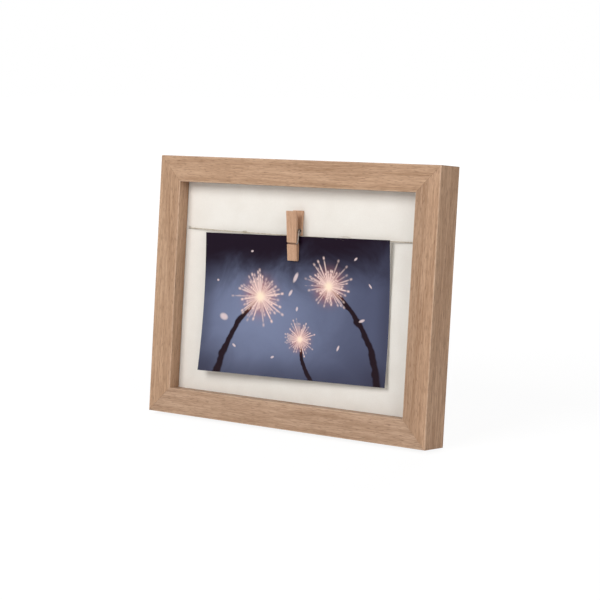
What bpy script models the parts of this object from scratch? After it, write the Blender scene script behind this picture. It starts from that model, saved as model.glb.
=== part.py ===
"""Tabletop photo frame: a mitred box frame whose print hangs from a peg on a twine line.

Run with: blender --background --python part.py

The frame is drawn upright in its own axes (x to the right, y from the front face to the back,
z up from the bottom edge) and leaned back as a whole by one empty. Lengths are in metres.
"""
import math

import bmesh
import bpy
from mathutils import Euler, Matrix, Vector

# Frame moulding
FRAME_WIDTH = 0.230
FRAME_HEIGHT = 0.182
FRAME_DEPTH = 0.023
FACE_WIDTH = 0.018
LIP_DEPTH = 0.0102
LIP_OVERLAP = 0.003
FRONT_EDGE_RADIUS = 0.0006
MITRE_GAP = 0.00006
LEAN = math.radians(6.5)

# Clearances
SEAT_GAP = 0.0003
CUT_OVERRUN = 0.002

# Boards in the rebate
BOARD_SIDE_GAP = 0.0004
DISPLAY_BOARD_THICK = 0.003
PACKING_CARD_THICK = 0.0052
BACK_BOARD_THICK = 0.0025

# V nails across the mitres
V_NAIL_ARM = 0.005
V_NAIL_THICK = 0.0005
V_NAIL_DEPTH = 0.009
V_NAIL_INSET = 0.006

# Bending tabs that hold the boards in
TAB_LENGTH = 0.009
TAB_WIDTH = 0.007
TAB_THICK = 0.0005
TAB_ROOT_GAP = 0.00035
TAB_TIP_RADIUS = 0.002
TAB_PLACE_SHARE = 0.34

# Sawtooth hanger and its nails
HANGER_WIDTH = 0.044
HANGER_HEIGHT = 0.0095
HANGER_THICK = 0.0008
HANGER_STAND_OFF = 0.0013
HANGER_EAR = 0.008
HANGER_TOOTH_PITCH = 0.0025
HANGER_TOOTH_HEIGHT = 0.0012
NAIL_RADIUS = 0.0006
NAIL_HEAD_RADIUS = 0.0014
NAIL_HEAD_THICK = 0.0005
NAIL_LENGTH = 0.0075

# Twine line
TWINE_DIAMETER = 0.0008
TWINE_DROP = 0.0503
TWINE_SAG = 0.0007
TWINE_LEVEL_HALF = 0.022
TWINE_STAND_OFF = 0.0009
TWINE_BEND_RADIUS = 0.0012
TWINE_HOLE_RADIUS = 0.001
TWINE_HOLE_INSET = 0.0025
KNOT_RADIUS = 0.0017
KNOT_POCKET_RADIUS = 0.004
TWINE_STEPS = 29

# Peg, measured from the centre of its spring coil
PEG_WIDTH = 0.0078
PEG_ABOVE = 0.014
PEG_BELOW = 0.0197
PEG_STAND_OFF = 0.0044
PEG_TILT = math.radians(3.9)
LEG_HANDLE_INNER = 0.0031
LEG_HANDLE_OUTER = 0.005
LEG_THROAT_INNER = 0.0015
LEG_THROAT_BELOW = 0.0025
LEG_JAW_OUTER = 0.0026
JAW_TOP_BELOW = 0.009
JAW_GRIP_CLEARANCE = 0.00025
JAW_MOUTH_HEIGHT = 0.001
JAW_MOUTH_DEPTH = 0.0006
LEG_EDGE_RADIUS = 0.00025

# Peg spring
WIRE_DIAMETER = 0.0009
COIL_RADIUS = 0.00175
COIL_TURNS = 5.5
COIL_POINTS_PER_TURN = 10
WIRE_GROOVE_BELOW = 0.0079
WIRE_BEND_RADIUS = 0.0009
WIRE_BAR_SHORTFALL = 0.0005
WIRE_BEND_STEPS = 4

# Photo print
PRINT_SIDE_GAP = 0.0209
PRINT_FLOOR_GAP = 0.0163
PRINT_TOP_GAP = 0.0009
PRINT_THICK = 0.0003
PRINT_TURN = math.radians(-1.1)
PRINT_RISE = 0.0016
PRINT_TWIST = 0.005
PRINT_COLUMNS = 26
PRINT_ROWS = 18

# Strut and its hinge
PIVOT_DROP = 0.052
STRUT_OPENING = math.radians(16)
STRUT_TOP_WIDTH = 0.036
STRUT_FOOT_WIDTH = 0.058
STRUT_CORNER_RADIUS = 0.005
HINGE_WIDTH = 0.034
HINGE_KNUCKLE_WIDTH = 0.012
HINGE_SIDE_GAP = 0.0003
KNUCKLE_RADIUS = 0.0023
PIN_RADIUS = 0.0012
PIN_HEAD_RADIUS = 0.0019
PIN_HEAD_THICK = 0.0007
LEAF_THICK = 0.0007
BOARD_LEAF_HEIGHT = 0.0145
STRUT_LEAF_HEIGHT = 0.017
TONGUE_HEIGHT = 0.008
TONGUE_ROOT_HEIGHT = 0.00145
RIVET_RADIUS = 0.001
RIVET_HEAD_RADIUS = 0.0022
RIVET_HEAD_THICK = 0.0006
RIVET_SPREAD = 0.0115
RIVET_FROM_LEAF_END = 0.005

# Facets
ARC_STEPS = 4
ROUND_STEPS = 24

# Places that follow from the sizes above
SIGHT_HALF_WIDTH = FRAME_WIDTH / 2 - FACE_WIDTH
REBATE_WALL = FACE_WIDTH - LIP_OVERLAP
BOARD_WIDTH = FRAME_WIDTH - 2 * (REBATE_WALL + BOARD_SIDE_GAP)
BOARD_HEIGHT = FRAME_HEIGHT - 2 * (REBATE_WALL + BOARD_SIDE_GAP)
DISPLAY_FRONT = LIP_DEPTH + SEAT_GAP
PACKING_FRONT = DISPLAY_FRONT + DISPLAY_BOARD_THICK + SEAT_GAP
BACK_BOARD_FRONT = PACKING_FRONT + PACKING_CARD_THICK + SEAT_GAP
BACK_BOARD_BACK = BACK_BOARD_FRONT + BACK_BOARD_THICK
TAB_MIDDLE = BACK_BOARD_BACK + SEAT_GAP + TAB_THICK / 2
PIVOT_HEIGHT = FRAME_HEIGHT - PIVOT_DROP
PIVOT_DEPTH = BACK_BOARD_BACK + SEAT_GAP + KNUCKLE_RADIUS
STRUT_BACK = KNUCKLE_RADIUS - LEAF_THICK - SEAT_GAP
STRUT_FRONT = FRAME_DEPTH + SEAT_GAP - PIVOT_DEPTH
STRUT_TOP = -(KNUCKLE_RADIUS + 2 * SEAT_GAP)
STRUT_LEAN = STRUT_OPENING - LEAN
PIVOT_RISE = PIVOT_HEIGHT * math.cos(LEAN) - (PIVOT_DEPTH - FRAME_DEPTH) * math.sin(LEAN)
STRUT_FOOT = -PIVOT_RISE / math.cos(STRUT_LEAN)

WIRE_RADIUS = WIRE_DIAMETER / 2
TWINE_RADIUS = TWINE_DIAMETER / 2
COIL_OUTER = COIL_RADIUS + WIRE_RADIUS
TWINE_HEIGHT = FRAME_HEIGHT - TWINE_DROP
TWINE_HOLE_X = SIGHT_HALF_WIDTH - TWINE_HOLE_INSET
TWINE_LINE_DEPTH = DISPLAY_FRONT - TWINE_STAND_OFF
KNOT_DEPTH = DISPLAY_FRONT + DISPLAY_BOARD_THICK + SEAT_GAP + KNOT_RADIUS
COIL_OVER_TWINE = COIL_OUTER + TWINE_RADIUS + SEAT_GAP
PEG_HEIGHT = TWINE_HEIGHT - TWINE_SAG + COIL_OVER_TWINE
PEG_DEPTH = DISPLAY_FRONT - PEG_STAND_OFF
JAW_INNER = PRINT_THICK / 2 + JAW_GRIP_CLEARANCE
GRIP_TOP_BELOW = COIL_OUTER + PRINT_TOP_GAP
TWINE_PEG_DEPTH = (PEG_DEPTH + PRINT_THICK / 2 + JAW_GRIP_CLEARANCE + TWINE_RADIUS
                   + COIL_OVER_TWINE * math.sin(PEG_TILT))
PRINT_TOP_DEPTH = PEG_DEPTH + GRIP_TOP_BELOW * math.sin(PEG_TILT)
PRINT_TOP_HEIGHT = PEG_HEIGHT - GRIP_TOP_BELOW * math.cos(PEG_TILT)
PRINT_WIDTH = 2 * (SIGHT_HALF_WIDTH - PRINT_SIDE_GAP)
PRINT_HEIGHT = PRINT_TOP_HEIGHT - FACE_WIDTH - PRINT_FLOOR_GAP
JAW_SHARE = (PEG_BELOW - GRIP_TOP_BELOW) / PRINT_HEIGHT
PRINT_CURL = (math.tan(PEG_TILT) * PRINT_HEIGHT + PRINT_RISE) / (4 * (1 - JAW_SHARE))

# Turns that bring a piece drawn in one plane to where it lies
UPRIGHT = Euler((math.radians(90), 0, 0)).to_matrix().to_4x4()
SIDEWAYS = Euler((math.radians(90), 0, math.radians(90))).to_matrix().to_4x4()
ROUND_ABOUT_X = Euler((0, math.radians(90), 0)).to_matrix().to_4x4()


# Collections and finishes

def clear_scene():
    """Remove every object of the open scene."""
    for old in list(bpy.data.objects):
        bpy.data.objects.remove(old, do_unlink=True)


def new_collection(name):
    """Add a collection to the scene."""
    collection = bpy.data.collections.new(name)
    bpy.context.scene.collection.children.link(collection)
    return collection


def finish(name, colour, roughness, metallic=0.0):
    """A plain material with one colour."""
    material = bpy.data.materials.new(name)
    material.use_nodes = True
    shader = material.node_tree.nodes["Principled BSDF"]
    shader.inputs["Base Color"].default_value = (*colour, 1.0)
    shader.inputs["Roughness"].default_value = roughness
    shader.inputs["Metallic"].default_value = metallic
    return material


clear_scene()
PIECES = new_collection("photo_frame")
CUTTERS = new_collection("cutters")

OAK_COLOUR_SHARES = (0.46, 0.31, 0.20)
BEECH_COLOUR_SHARES = (0.62, 0.38, 0.23)
WHITE_COLOUR_SHARES = (0.84, 0.81, 0.76)
CARD_COLOUR_SHARES = (0.45, 0.33, 0.21)
HARDBOARD_COLOUR_SHARES = (0.24, 0.15, 0.09)
TWINE_COLOUR_SHARES = (0.52, 0.46, 0.38)
STEEL_COLOUR_SHARES = (0.55, 0.55, 0.56)
BRASS_COLOUR_SHARES = (0.62, 0.45, 0.20)
DUSK_COLOUR_SHARES = (0.10, 0.10, 0.19)


# Ways of making and placing pieces

def empty(name, parent, location=(0, 0, 0), turn_x=0.0):
    """Add an empty that carries the pieces of one body."""
    holder = bpy.data.objects.new(name, None)
    PIECES.objects.link(holder)
    holder.parent = parent
    holder.location = location
    holder.rotation_euler = (turn_x, 0, 0)
    return holder


def place(name, mesh, material, parent, location=(0, 0, 0), turn=(0, 0, 0)):
    """Add a named piece with its own finish."""
    piece = bpy.data.objects.new(name, mesh)
    PIECES.objects.link(piece)
    piece.parent = parent
    piece.location = location
    piece.rotation_euler = turn
    if material:
        mesh.materials.append(material)
    return piece


def tool(name, mesh, parent, location=(0, 0, 0), turn=(0, 0, 0)):
    """Add a shape that only cuts or joins other pieces."""
    cutter = place(name, mesh, None, parent, location, turn)
    PIECES.objects.unlink(cutter)
    CUTTERS.objects.link(cutter)
    cutter.hide_render = True
    cutter.display_type = "WIRE"
    return cutter


def boolean(piece, other, operation="DIFFERENCE"):
    """Cut a piece with a tool, or join the tool to it."""
    modifier = piece.modifiers.new(other.name, "BOOLEAN")
    modifier.object = other
    modifier.operation = operation
    return modifier


def tidy_mesh(mesh, matrix=Matrix()):
    """Weld loose caps, turn every face outwards and move the mesh."""
    cleaned = bmesh.new()
    cleaned.from_mesh(mesh)
    bmesh.ops.remove_doubles(cleaned, verts=cleaned.verts, dist=SEAT_GAP / 100)
    bmesh.ops.recalc_face_normals(cleaned, faces=cleaned.faces)
    bmesh.ops.transform(cleaned, matrix=matrix, verts=cleaned.verts)
    cleaned.to_mesh(mesh)
    cleaned.free()
    return mesh


def mesh_of_curve(name, curve, matrix=Matrix()):
    """Turn a curve into a closed mesh of the same name."""
    holder = bpy.data.objects.new(name + "_curve", curve)
    PIECES.objects.link(holder)
    graph = bpy.context.evaluated_depsgraph_get()
    mesh = bpy.data.meshes.new_from_object(holder.evaluated_get(graph))
    bpy.data.objects.remove(holder, do_unlink=True)
    mesh.name = name
    return tidy_mesh(mesh, matrix)


def plate_mesh(name, outline, thickness, matrix=UPRIGHT, holes=()):
    """Extrude a flat outline, with holes if it has any, about its own plane."""
    curve = bpy.data.curves.new(name, "CURVE")
    curve.dimensions = "2D"
    curve.fill_mode = "BOTH"
    curve.extrude = thickness / 2
    for ring in (outline, *holes):
        spline = curve.splines.new("POLY")
        spline.points.add(len(ring) - 1)
        for point, (across, up) in zip(spline.points, ring):
            point.co = (across, up, 0, 1)
        spline.use_cyclic_u = True
    return mesh_of_curve(name, curve, matrix)


def tube_mesh(name, route, radius, bevel_steps):
    """A round wire or cord along a list of points."""
    curve = bpy.data.curves.new(name, "CURVE")
    curve.dimensions = "3D"
    curve.bevel_depth = radius
    curve.bevel_resolution = bevel_steps
    curve.use_fill_caps = True
    spline = curve.splines.new("POLY")
    spline.points.add(len(route) - 1)
    for point, place_on_route in zip(spline.points, route):
        point.co = (*place_on_route, 1)
    return mesh_of_curve(name, curve)


def box_mesh(name, size, middle=(0, 0, 0)):
    """A box about a middle point."""
    shape = bmesh.new()
    bmesh.ops.create_cube(shape, size=1)
    matrix = Matrix.Translation(middle) @ Matrix.Diagonal((*size, 1))
    bmesh.ops.transform(shape, matrix=matrix, verts=shape.verts)
    mesh = bpy.data.meshes.new(name)
    shape.to_mesh(mesh)
    shape.free()
    return mesh


def rod_mesh(name, radius, length, matrix=UPRIGHT):
    """A cylinder about its own middle."""
    shape = bmesh.new()
    bmesh.ops.create_cone(shape, cap_ends=True, segments=ROUND_STEPS, radius1=radius,
                          radius2=radius, depth=length, matrix=matrix)
    mesh = bpy.data.meshes.new(name)
    shape.to_mesh(mesh)
    shape.free()
    return mesh


def smooth(piece):
    """Shade the round faces of a piece smooth and keep its edges sharp."""
    piece.data.shade_smooth()
    piece.data.set_sharp_from_angle(angle=math.radians(35))


def turned_piece(name, profile, material, parent, location, turn):
    """Spin a profile, given as radius and height from top to bottom, into a round piece."""
    mesh = bpy.data.meshes.new(name)
    points = [(radius, 0, height) for radius, height in profile]
    mesh.from_pydata(points, [(i, i + 1) for i in range(len(points) - 1)], [])
    piece = place(name, mesh, material, parent, location, turn)
    screw = piece.modifiers.new("spin", "SCREW")
    screw.steps = screw.render_steps = ROUND_STEPS
    screw.use_merge_vertices = True
    screw.merge_threshold = SEAT_GAP / 100
    return piece


def rounded(corners):
    """Replace each corner (across, up, radius) of an outline by an arc of that radius."""
    outline = []
    for index, (across, up, radius) in enumerate(corners):
        corner = Vector((across, up))
        before = Vector(corners[index - 1][:2]) - corner
        after = Vector(corners[(index + 1) % len(corners)][:2]) - corner
        if not radius:
            outline.append(tuple(corner))
            continue
        half_angle = before.angle(after) / 2
        reach = radius / math.tan(half_angle)
        centre = corner + (before.normalized() + after.normalized()).normalized() * (
            radius / math.sin(half_angle))
        start = corner + before.normalized() * reach - centre
        sweep = start.angle_signed(corner + after.normalized() * reach - centre)
        for step in range(ARC_STEPS + 1):
            spoke = start.copy()
            spoke.rotate(Matrix.Rotation(-sweep * step / ARC_STEPS, 2))
            outline.append(tuple(centre + spoke))
    return outline


# Frame moulding and its joints

def rail_profile():
    """The moulding's section: depth from the front face, then distance in from the outer edge."""
    return rounded([
        (0, 0, FRONT_EDGE_RADIUS),
        (FRAME_DEPTH, 0, 0),
        (FRAME_DEPTH, REBATE_WALL, 0),
        (LIP_DEPTH, REBATE_WALL, 0),
        (LIP_DEPTH, FACE_WIDTH, 0),
        (0, FACE_WIDTH, FRONT_EDGE_RADIUS),
    ])


def rail_mesh(name, length):
    """One rail along x, its ends cut back to the mitre."""
    mesh = plate_mesh(name, rail_profile(), length, SIDEWAYS)
    for vertex in mesh.vertices:
        end = length / 2 - vertex.co.z - MITRE_GAP
        vertex.co.x = math.copysign(end, vertex.co.x)
    return mesh


# Each side of the frame: middle of its outer edge, turn about y, length
SIDES = {
    "bottom": ((0, 0, 0), 0, FRAME_WIDTH),
    "top": ((0, 0, FRAME_HEIGHT), math.radians(180), FRAME_WIDTH),
    "left": ((-FRAME_WIDTH / 2, 0, FRAME_HEIGHT / 2), math.radians(90), FRAME_HEIGHT),
    "right": ((FRAME_WIDTH / 2, 0, FRAME_HEIGHT / 2), math.radians(-90), FRAME_HEIGHT),
}
RAIL_NAMES = {"bottom": "bottom_rail", "top": "top_rail", "left": "left_stile", "right": "right_stile"}


def make_rails(frame):
    """The four mitred rails."""
    rails = {}
    for side, (location, turn, length) in SIDES.items():
        name = RAIL_NAMES[side]
        oak = finish(name + "_oak", OAK_COLOUR_SHARES, 0.55)
        rails[side] = place(name, rail_mesh(name, length), oak, frame, location, (0, turn, 0))
    return rails


def v_outline(spread):
    """The V nail's plan from its inner corner, grown by a spread on every side."""
    low = -spread
    inner = V_NAIL_THICK + spread
    arm = V_NAIL_ARM + spread
    return [(low, low), (arm, low), (arm, inner), (inner, inner), (inner, arm), (low, arm)]


def make_v_nails(frame, rails):
    """A V nail pressed across each mitre from the back, in a slot of its own shape."""
    corners = {
        "bottom_left": (-1, 0, 0, ("bottom", "left")),
        "bottom_right": (1, 0, -90, ("bottom", "right")),
        "top_right": (1, 1, 180, ("top", "right")),
        "top_left": (-1, 1, 90, ("top", "left")),
    }
    nail_middle = FRAME_DEPTH - SEAT_GAP - V_NAIL_DEPTH / 2
    slot_length = V_NAIL_DEPTH + 2 * SEAT_GAP + CUT_OVERRUN
    slot_middle = FRAME_DEPTH + CUT_OVERRUN - slot_length / 2
    for corner, (side, top, turn, sides) in corners.items():
        x = side * (FRAME_WIDTH / 2 - V_NAIL_INSET)
        z = FRAME_HEIGHT - V_NAIL_INSET if top else V_NAIL_INSET
        steel = finish("v_nail_steel_" + corner, STEEL_COLOUR_SHARES, 0.4, 1.0)
        name = "v_nail_" + corner
        turned = (0, math.radians(turn), 0)
        place(name, plate_mesh(name, v_outline(0), V_NAIL_DEPTH), steel, frame, (x, nail_middle, z), turned)
        slot = tool("slot_" + corner, plate_mesh("slot_" + corner, v_outline(SEAT_GAP), slot_length),
                    frame, (x, slot_middle, z), turned)
        for side_name in sides:
            boolean(rails[side_name], slot)


# Boards in the rebate

def make_boards(frame):
    """The white display board, the packing card and the back board, with their holes."""
    middle_height = FRAME_HEIGHT / 2
    display = place("display_board",
                    box_mesh("display_board", (BOARD_WIDTH, DISPLAY_BOARD_THICK, BOARD_HEIGHT)),
                    finish("white_face", WHITE_COLOUR_SHARES, 0.6), frame,
                    (0, DISPLAY_FRONT + DISPLAY_BOARD_THICK / 2, middle_height))
    packing = place("packing_card",
                    box_mesh("packing_card", (BOARD_WIDTH, PACKING_CARD_THICK, BOARD_HEIGHT)),
                    finish("brown_card", CARD_COLOUR_SHARES, 0.9), frame,
                    (0, PACKING_FRONT + PACKING_CARD_THICK / 2, middle_height))
    back = place("back_board",
                 box_mesh("back_board", (BOARD_WIDTH, BACK_BOARD_THICK, BOARD_HEIGHT)),
                 finish("hardboard", HARDBOARD_COLOUR_SHARES, 0.7), frame,
                 (0, BACK_BOARD_FRONT + BACK_BOARD_THICK / 2, middle_height))
    through = PACKING_CARD_THICK + 2 * CUT_OVERRUN
    for side, label in ((-1, "left"), (1, "right")):
        hole_place = (side * TWINE_HOLE_X, DISPLAY_FRONT + DISPLAY_BOARD_THICK / 2, TWINE_HEIGHT)
        hole = tool("twine_hole_" + label, rod_mesh("twine_hole", TWINE_HOLE_RADIUS, through),
                    frame, hole_place)
        boolean(display, hole)
        pocket_place = (side * TWINE_HOLE_X, PACKING_FRONT + PACKING_CARD_THICK / 2, TWINE_HEIGHT)
        pocket = tool("knot_pocket_" + label, rod_mesh("knot_pocket", KNOT_POCKET_RADIUS, through),
                      frame, pocket_place)
        boolean(packing, pocket)
        rivet_height = PIVOT_HEIGHT + BOARD_LEAF_HEIGHT - RIVET_FROM_LEAF_END
        rivet_place = (side * RIVET_SPREAD, BACK_BOARD_FRONT, rivet_height)
        clearance = tool("rivet_pocket_" + label,
                         rod_mesh("rivet_pocket", RIVET_HEAD_RADIUS + SEAT_GAP, through), frame,
                         (rivet_place[0], PACKING_FRONT + PACKING_CARD_THICK / 2, rivet_height))
        boolean(packing, clearance)
        rivet_hole = tool("board_rivet_hole_" + label,
                          rod_mesh("board_rivet_hole", RIVET_RADIUS + SEAT_GAP, through), frame,
                          rivet_place)
        boolean(back, rivet_hole)


# Tabs

def tab_mesh(name):
    """A flat tab from its bend at the origin, pointing along z."""
    outline = rounded([
        (-TAB_WIDTH / 2, 0, 0),
        (TAB_WIDTH / 2, 0, 0),
        (TAB_WIDTH / 2, TAB_LENGTH, TAB_TIP_RADIUS),
        (-TAB_WIDTH / 2, TAB_LENGTH, TAB_TIP_RADIUS),
    ])
    return plate_mesh(name, outline, TAB_THICK)


def make_tabs(frame):
    """Two tabs on the top and bottom rails and one on each stile, bent flat over the back board."""
    places = {
        "tab_bottom_left": ("bottom", -TAB_PLACE_SHARE),
        "tab_bottom_right": ("bottom", TAB_PLACE_SHARE),
        "tab_top_left": ("top", -TAB_PLACE_SHARE),
        "tab_top_right": ("top", TAB_PLACE_SHARE),
        "tab_left": ("left", 0),
        "tab_right": ("right", 0),
    }
    inset = REBATE_WALL + TAB_ROOT_GAP
    for name, (side, along_share) in places.items():
        (x, _, z), turn, length = SIDES[side]
        inward = Vector((math.sin(turn), 0, math.cos(turn))) * inset
        location = Vector((x, TAB_MIDDLE, z)) + inward
        if side in ("bottom", "top"):
            location.x += along_share * length
        steel = finish(name + "_steel", STEEL_COLOUR_SHARES, 0.45, 1.0)
        place(name, tab_mesh(name), steel, frame, location, (0, turn, 0))


# Sawtooth hanger

def make_hanger(frame, top_rail):
    """The toothed hanger on the top rail's back, raised between its nailed ears."""
    half = HANGER_WIDTH / 2
    bottom = -HANGER_HEIGHT / 2
    top = HANGER_HEIGHT / 2
    toothed_half = half - HANGER_EAR
    teeth = 2 * round(toothed_half / HANGER_TOOTH_PITCH)
    pitch = 2 * toothed_half / teeth
    lower = [(-half, bottom)]
    for tooth in range(teeth):
        start = -toothed_half + tooth * pitch
        lower.append((start, bottom))
        lower.append((start + pitch / 2, bottom + HANGER_TOOTH_HEIGHT))
    lower += [(toothed_half, bottom), (half, bottom)]
    mesh = plate_mesh("sawtooth_hanger", lower + [(half, top), (-half, top)], HANGER_THICK)
    shape = bmesh.new()
    shape.from_mesh(mesh)
    for x in (-toothed_half, pitch - toothed_half, toothed_half - pitch, toothed_half):
        everything = shape.verts[:] + shape.edges[:] + shape.faces[:]
        bmesh.ops.bisect_plane(shape, geom=everything, plane_co=(x, 0, 0), plane_no=(1, 0, 0),
                               dist=SEAT_GAP / 100)
    for vertex in shape.verts:
        from_ear_share = (toothed_half - abs(vertex.co.x)) / pitch
        vertex.co.y += HANGER_STAND_OFF * min(1, max(0, from_ear_share))
    shape.to_mesh(mesh)
    shape.free()
    height = FRAME_HEIGHT - REBATE_WALL / 2
    depth = FRAME_DEPTH + SEAT_GAP + HANGER_THICK / 2
    brass = finish("hanger_brass", BRASS_COLOUR_SHARES, 0.35, 1.0)
    hanger = place("sawtooth_hanger", mesh, brass, frame, (0, depth, height))
    head_seat = HANGER_THICK / 2 + SEAT_GAP
    for side, label in ((-1, "left"), (1, "right")):
        x = side * (half - HANGER_EAR / 2)
        hole_length = 2 * (NAIL_LENGTH + CUT_OVERRUN)
        hole = tool("nail_hole_" + label, rod_mesh("nail_hole", NAIL_RADIUS + SEAT_GAP, hole_length),
                    frame, (x, depth, height))
        boolean(hanger, hole)
        boolean(top_rail, hole)
        profile = [
            (0, NAIL_LENGTH),
            (NAIL_RADIUS, NAIL_LENGTH - NAIL_RADIUS),
            (NAIL_RADIUS, 0),
            (NAIL_HEAD_RADIUS, 0),
            (NAIL_HEAD_RADIUS, -NAIL_HEAD_THICK / 2),
            (0, -NAIL_HEAD_THICK),
        ]
        nail_brass = finish("nail_brass_" + label, BRASS_COLOUR_SHARES, 0.35, 1.0)
        turned_piece("hanger_nail_" + label, profile, nail_brass, frame,
                     (x, depth + head_seat, height), (math.radians(90), 0, 0))


# Twine line

def twine_half():
    """Points of the twine from its left knot to the start of the level middle stretch."""
    arc_steps = ARC_STEPS + 1
    points = [Vector((-TWINE_HOLE_X, KNOT_DEPTH, TWINE_HEIGHT))]
    centre_x = -TWINE_HOLE_X + TWINE_BEND_RADIUS
    centre_y = TWINE_LINE_DEPTH + TWINE_BEND_RADIUS
    for step in range(arc_steps + 1):
        angle = math.radians(90) * step / arc_steps
        points.append(Vector((centre_x - TWINE_BEND_RADIUS * math.cos(angle),
                              centre_y - TWINE_BEND_RADIUS * math.sin(angle), TWINE_HEIGHT)))
    run = -TWINE_LEVEL_HALF - centre_x
    for step in range(1, TWINE_STEPS + 1):
        along = step / TWINE_STEPS
        eased = along * (2 - along)
        points.append(Vector((centre_x + run * along,
                              TWINE_LINE_DEPTH + (TWINE_PEG_DEPTH - TWINE_LINE_DEPTH) * eased,
                              TWINE_HEIGHT - TWINE_SAG * eased)))
    return points


def make_twine(frame):
    """The twine through both board holes, knotted behind the display board."""
    left = twine_half()
    right = [Vector((-point.x, point.y, point.z)) for point in reversed(left)]
    hemp = finish("twine_hemp", TWINE_COLOUR_SHARES, 0.9)
    twine = place("twine", tube_mesh("twine", left + right, TWINE_RADIUS, 2), hemp, frame)
    for side, label in ((-1, "left"), (1, "right")):
        shape = bmesh.new()
        bmesh.ops.create_uvsphere(shape, u_segments=ROUND_STEPS // 2, v_segments=ROUND_STEPS // 3,
                                  radius=KNOT_RADIUS)
        mesh = bpy.data.meshes.new("knot_" + label)
        shape.to_mesh(mesh)
        shape.free()
        knot = tool("knot_" + label, mesh, frame, (side * TWINE_HOLE_X, KNOT_DEPTH, TWINE_HEIGHT))
        boolean(twine, knot, "UNION")


# Peg

def leg_outline(back):
    """One leg's side view, as depth and height from the coil; back is 1 for the rear leg."""
    corners = [
        (LEG_HANDLE_INNER, PEG_ABOVE, LEG_EDGE_RADIUS),
        (LEG_THROAT_INNER, -LEG_THROAT_BELOW, 0),
        (JAW_INNER, -JAW_TOP_BELOW, 0),
        (JAW_INNER, -PEG_BELOW + JAW_MOUTH_HEIGHT, 0),
        (JAW_INNER + JAW_MOUTH_DEPTH, -PEG_BELOW, 0),
        (LEG_JAW_OUTER, -PEG_BELOW, LEG_EDGE_RADIUS),
        (LEG_HANDLE_OUTER, PEG_ABOVE, 2 * LEG_EDGE_RADIUS),
    ]
    outline = rounded(corners)
    return [(back * depth, height) for depth, height in outline]


def leg_outer_at(below):
    """Depth of a leg's outer face at a height below the coil."""
    share = (PEG_ABOVE + below) / (PEG_ABOVE + PEG_BELOW)
    return LEG_HANDLE_OUTER + (LEG_JAW_OUTER - LEG_HANDLE_OUTER) * share


BAR_DEPTH = leg_outer_at(WIRE_GROOVE_BELOW) - WIRE_RADIUS


def make_legs(rear_holder, front_holder):
    """The two beech legs, with the spring's seat inside and its wire groove outside."""
    cut_width = PEG_WIDTH + 2 * CUT_OVERRUN
    for name, holder, back in (("peg_rear_leg", rear_holder, 1), ("peg_front_leg", front_holder, -1)):
        mesh = plate_mesh(name, leg_outline(back), PEG_WIDTH, SIDEWAYS)
        beech = finish(name + "_beech", BEECH_COLOUR_SHARES, 0.6)
        leg = place(name, mesh, beech, holder)
        seat = tool(name + "_seat", rod_mesh("seat", COIL_OUTER + SEAT_GAP, cut_width, ROUND_ABOUT_X), holder)
        groove = tool(name + "_groove", rod_mesh("groove", WIRE_RADIUS + SEAT_GAP, cut_width, ROUND_ABOUT_X),
                      holder, (0, back * BAR_DEPTH, -WIRE_GROOVE_BELOW))
        boolean(leg, seat)
        boolean(leg, groove)
        bevel = leg.modifiers.new("soft_edges", "BEVEL")
        bevel.width = LEG_EDGE_RADIUS
        bevel.segments = 2
        bevel.limit_method = "ANGLE"
        bevel.angle_limit = math.radians(60)


def spring_route():
    """The spring as one wire: bar, side arm, coil, side arm, bar."""
    arm_x = PEG_WIDTH / 2 + SEAT_GAP + WIRE_RADIUS
    bar_end = PEG_WIDTH / 2 - WIRE_BAR_SHORTFALL
    corner = Vector((arm_x, -BAR_DEPTH, -WIRE_GROOVE_BELOW))
    coil_start = Vector((arm_x, -COIL_RADIUS, 0))
    upwards = (coil_start - corner).normalized()
    sideways = Vector((1, 0, 0))
    centre = corner + (upwards - sideways) * WIRE_BEND_RADIUS
    arm = [Vector((-bar_end, -BAR_DEPTH, -WIRE_GROOVE_BELOW)), Vector((0, -BAR_DEPTH, -WIRE_GROOVE_BELOW))]
    for step in range(WIRE_BEND_STEPS + 1):
        angle = math.radians(90) * step / WIRE_BEND_STEPS
        arm.append(centre + (sideways * math.sin(angle) - upwards * math.cos(angle)) * WIRE_BEND_RADIUS)
    arm.append((arm[-1] + coil_start) / 2)
    steps = round(COIL_TURNS * COIL_POINTS_PER_TURN)
    coil = []
    for step in range(steps + 1):
        turn = 2 * math.pi * COIL_TURNS * step / steps
        coil.append(Vector((arm_x * (1 - 2 * step / steps), -COIL_RADIUS * math.cos(turn),
                            COIL_RADIUS * math.sin(turn))))
    return arm + coil + [Vector((-point.x, -point.y, point.z)) for point in reversed(arm)]


def least_gap(route, thickness):
    """Smallest gap between stretches of a wire that aren't neighbours along it."""
    lengths = [0.0]
    for before, after in zip(route, route[1:]):
        lengths.append(lengths[-1] + (after - before).length)
    neighbourhood = math.pi * COIL_RADIUS
    gaps = [(a - b).length - thickness
            for i, a in enumerate(route) for j, b in enumerate(route)
            if lengths[j] - lengths[i] > neighbourhood]
    return min(gaps)


def make_spring(holder):
    """The peg's torsion spring."""
    route = spring_route()
    steel = finish("spring_steel", STEEL_COLOUR_SHARES, 0.3, 1.0)
    smooth(place("peg_spring", tube_mesh("peg_spring", route, WIRE_RADIUS, 1), steel, holder))
    print("peg_spring least gap to itself, mm:", round(least_gap(route, WIRE_DIAMETER) * 1000, 3))


# Photo print

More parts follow.
